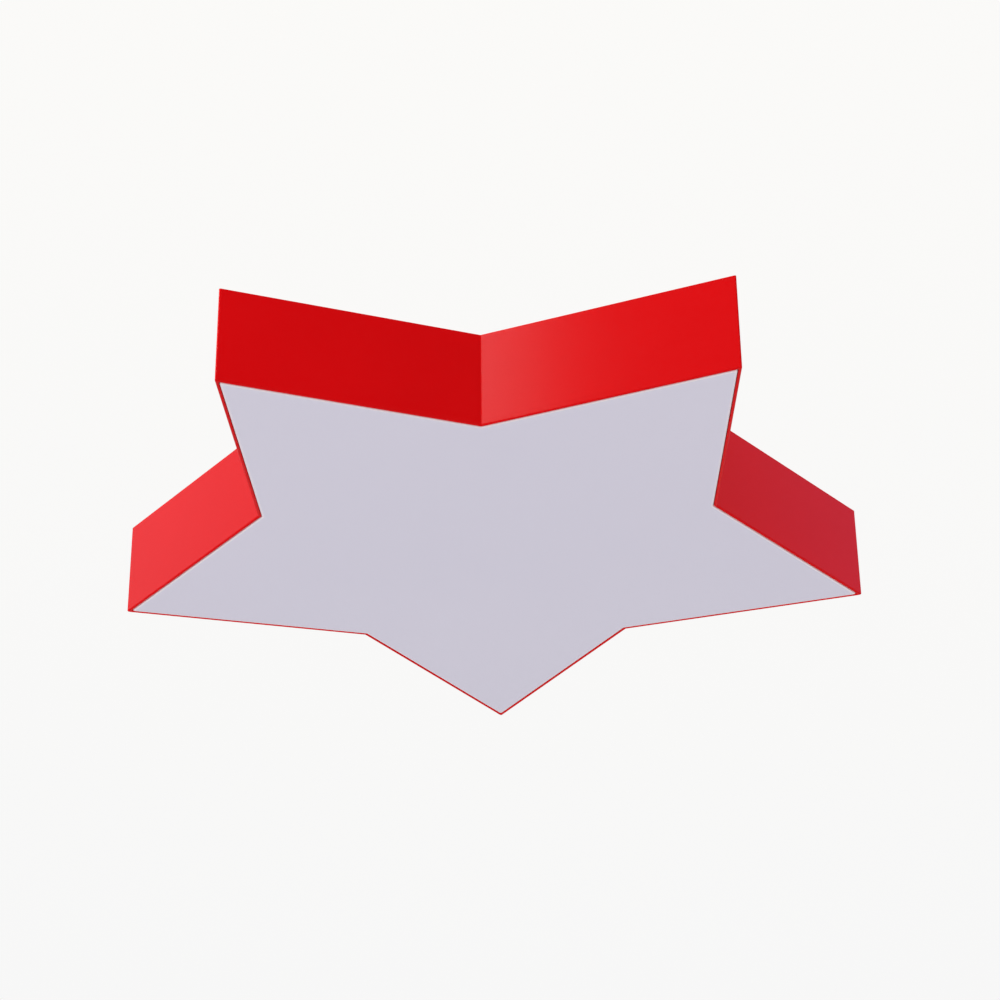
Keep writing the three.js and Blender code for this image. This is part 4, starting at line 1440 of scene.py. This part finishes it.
# %% Leads
BARE_LENGTH = 0.9 * MM
CUT_BORDER = 0.12 * MM
LEAD_FINISHES = {
    "live_lead": (brown_lead, "lead_brown"),
    "neutral_lead": (blue_lead, "lead_blue"),
    "earth_lead": (earth_lead, "lead_green_yellow"),
    "led_supply_lead": (red_lead, "lead_red"),
    "led_return_lead": (black_lead, "lead_black"),
    "led_jumper_1": (red_lead, "lead_red"),
    "led_jumper_2": (black_lead, "lead_black"),
    "led_jumper_3": (red_lead, "lead_red"),
    "led_jumper_4": (black_lead, "lead_black"),
}


def bare_end(face):
    """A short tinned core that stands out of a lead's cut end."""
    radius = 0.5 * math.sqrt(face.calc_area() / math.pi)
    profile = [(0, -BARE_LENGTH), (radius, -BARE_LENGTH), (radius, BARE_LENGTH), (0, BARE_LENGTH)]
    bm = spun(profile, 12)
    turn = face.normal.to_track_quat("Z", "Y").to_matrix()
    bmesh.ops.rotate(bm, cent=(0, 0, 0), matrix=turn, verts=bm.verts)
    bmesh.ops.translate(bm, vec=face.calc_center_median(), verts=bm.verts)
    return bm


def lead_tube(node):
    """A CAD lead as rings of quads, with one whole face at each end; returns it and its end faces."""
    bm = bmesh.new()
    bm.from_mesh(frame["nodes"][node].data)
    bmesh.ops.remove_doubles(bm, verts=bm.verts, dist=MERGE)
    sharp = [edge for edge in bm.edges if edge.calc_face_angle(0) > math.radians(60)]
    rim = {dot for edge in sharp for dot in edge.verts}
    across = [
        edge for edge in bm.edges
        if edge.calc_face_angle(0) < math.radians(10)
        and all(dot in rim for face in edge.link_faces for dot in face.verts)
    ]
    bmesh.ops.dissolve_edges(bm, edges=across, use_verts=False)
    sides = [face for face in bm.faces if len(face.verts) == 3]
    bmesh.ops.join_triangles(
        bm, faces=sides, angle_face_threshold=math.radians(40), angle_shape_threshold=math.pi,
    )
    return bm, [face for face in bm.faces if len(face.verts) > 4]


def lead_piece(node, finish, slot):
    bm, ends = lead_tube(node)
    cores = [bare_end(face) for face in ends]
    for face in ends:
        bmesh.ops.inset_region(bm, faces=[face], thickness=CUT_BORDER, use_even_offset=True)
    lead = piece_from(node + "_sleeve", bm, finish, "housing", slot, [node], 180, even=False)
    smooth = lead.modifiers.new("round", "SUBSURF")
    smooth.levels = smooth.render_levels = 1
    piece_from(node + "_cores", joined(cores), tinned, "housing", "tag_tin")
    return len(ends)


print("lead ends:", {n: lead_piece(n, *finish) for n, finish in LEAD_FINISHES.items()})

# %% [markdown]
# ## Spring clips
#
# Each clip is one strip of spring steel: a foot riveted to the plate, a bend, and a leaf that presses
# on the diffuser's skirt. The frame has to split it at the bend so that the leaf can turn.

# %% Spring clips
CLIP_EDGE = 0.08 * MM
RIVET_RADIUS = 2.4 * MM
RIVET_RISE = 0.9 * MM
RIVET_STEPS = 5
FOOT_MIDDLE = 6.3 * MM
joint_of = {joint["name"]: joint for joint in frame["joints"]}


def rivet_head(z, down):
    rise = -RIVET_RISE if down else RIVET_RISE
    profile = [(0, z)]
    for turn in arc(RIVET_STEPS):
        profile.append((RIVET_RADIUS * math.cos(turn), z + rise * math.sin(turn)))
    return spun(profile, 24)


def spring_clip(i):
    bend = Vector(joint_of[f"clip_flex_{i}"]["pos_m"])
    foot, leaf = f"clip_foot_{i}", f"clip_leaf_{i}"
    low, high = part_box(foot)
    inward = ((low + high) / 2 - bend) * Vector((1, 1, 0))
    inward.normalize()
    bm = merged_copy(foot, leaf)
    ends = sorted(bm.faces, key=lambda f: (f.calc_center_median() - bend).length)[:2]
    rims = list({edge for face in ends for edge in face.edges})
    bmesh.ops.delete(bm, geom=ends, context="FACES_ONLY")
    bmesh.ops.bridge_loops(bm, edges=rims)
    bmesh.ops.recalc_face_normals(bm, faces=bm.faces)
    break_edges(bm, CLIP_EDGE, 1, 60)
    clip = piece_from(f"clip_{i}_strip", bm, spring_strip, "housing", "spring_steel", [foot, leaf], 35)
    clip.parent = None
    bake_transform(clip)
    spot = bend + inward * FOOT_MIDDLE
    heads = [rivet_head(low.z, True), rivet_head(plate_high.z, False)]
    rivet = put(joined(heads), (spot.x, spot.y, 0))
    piece_from(f"clip_{i}_rivet", rivet, screw_zinc, "housing", "screw_steel")
    return len(clip.data.polygons)


print("faces of the clip strips:", [spring_clip(i) for i in range(1, 6)])
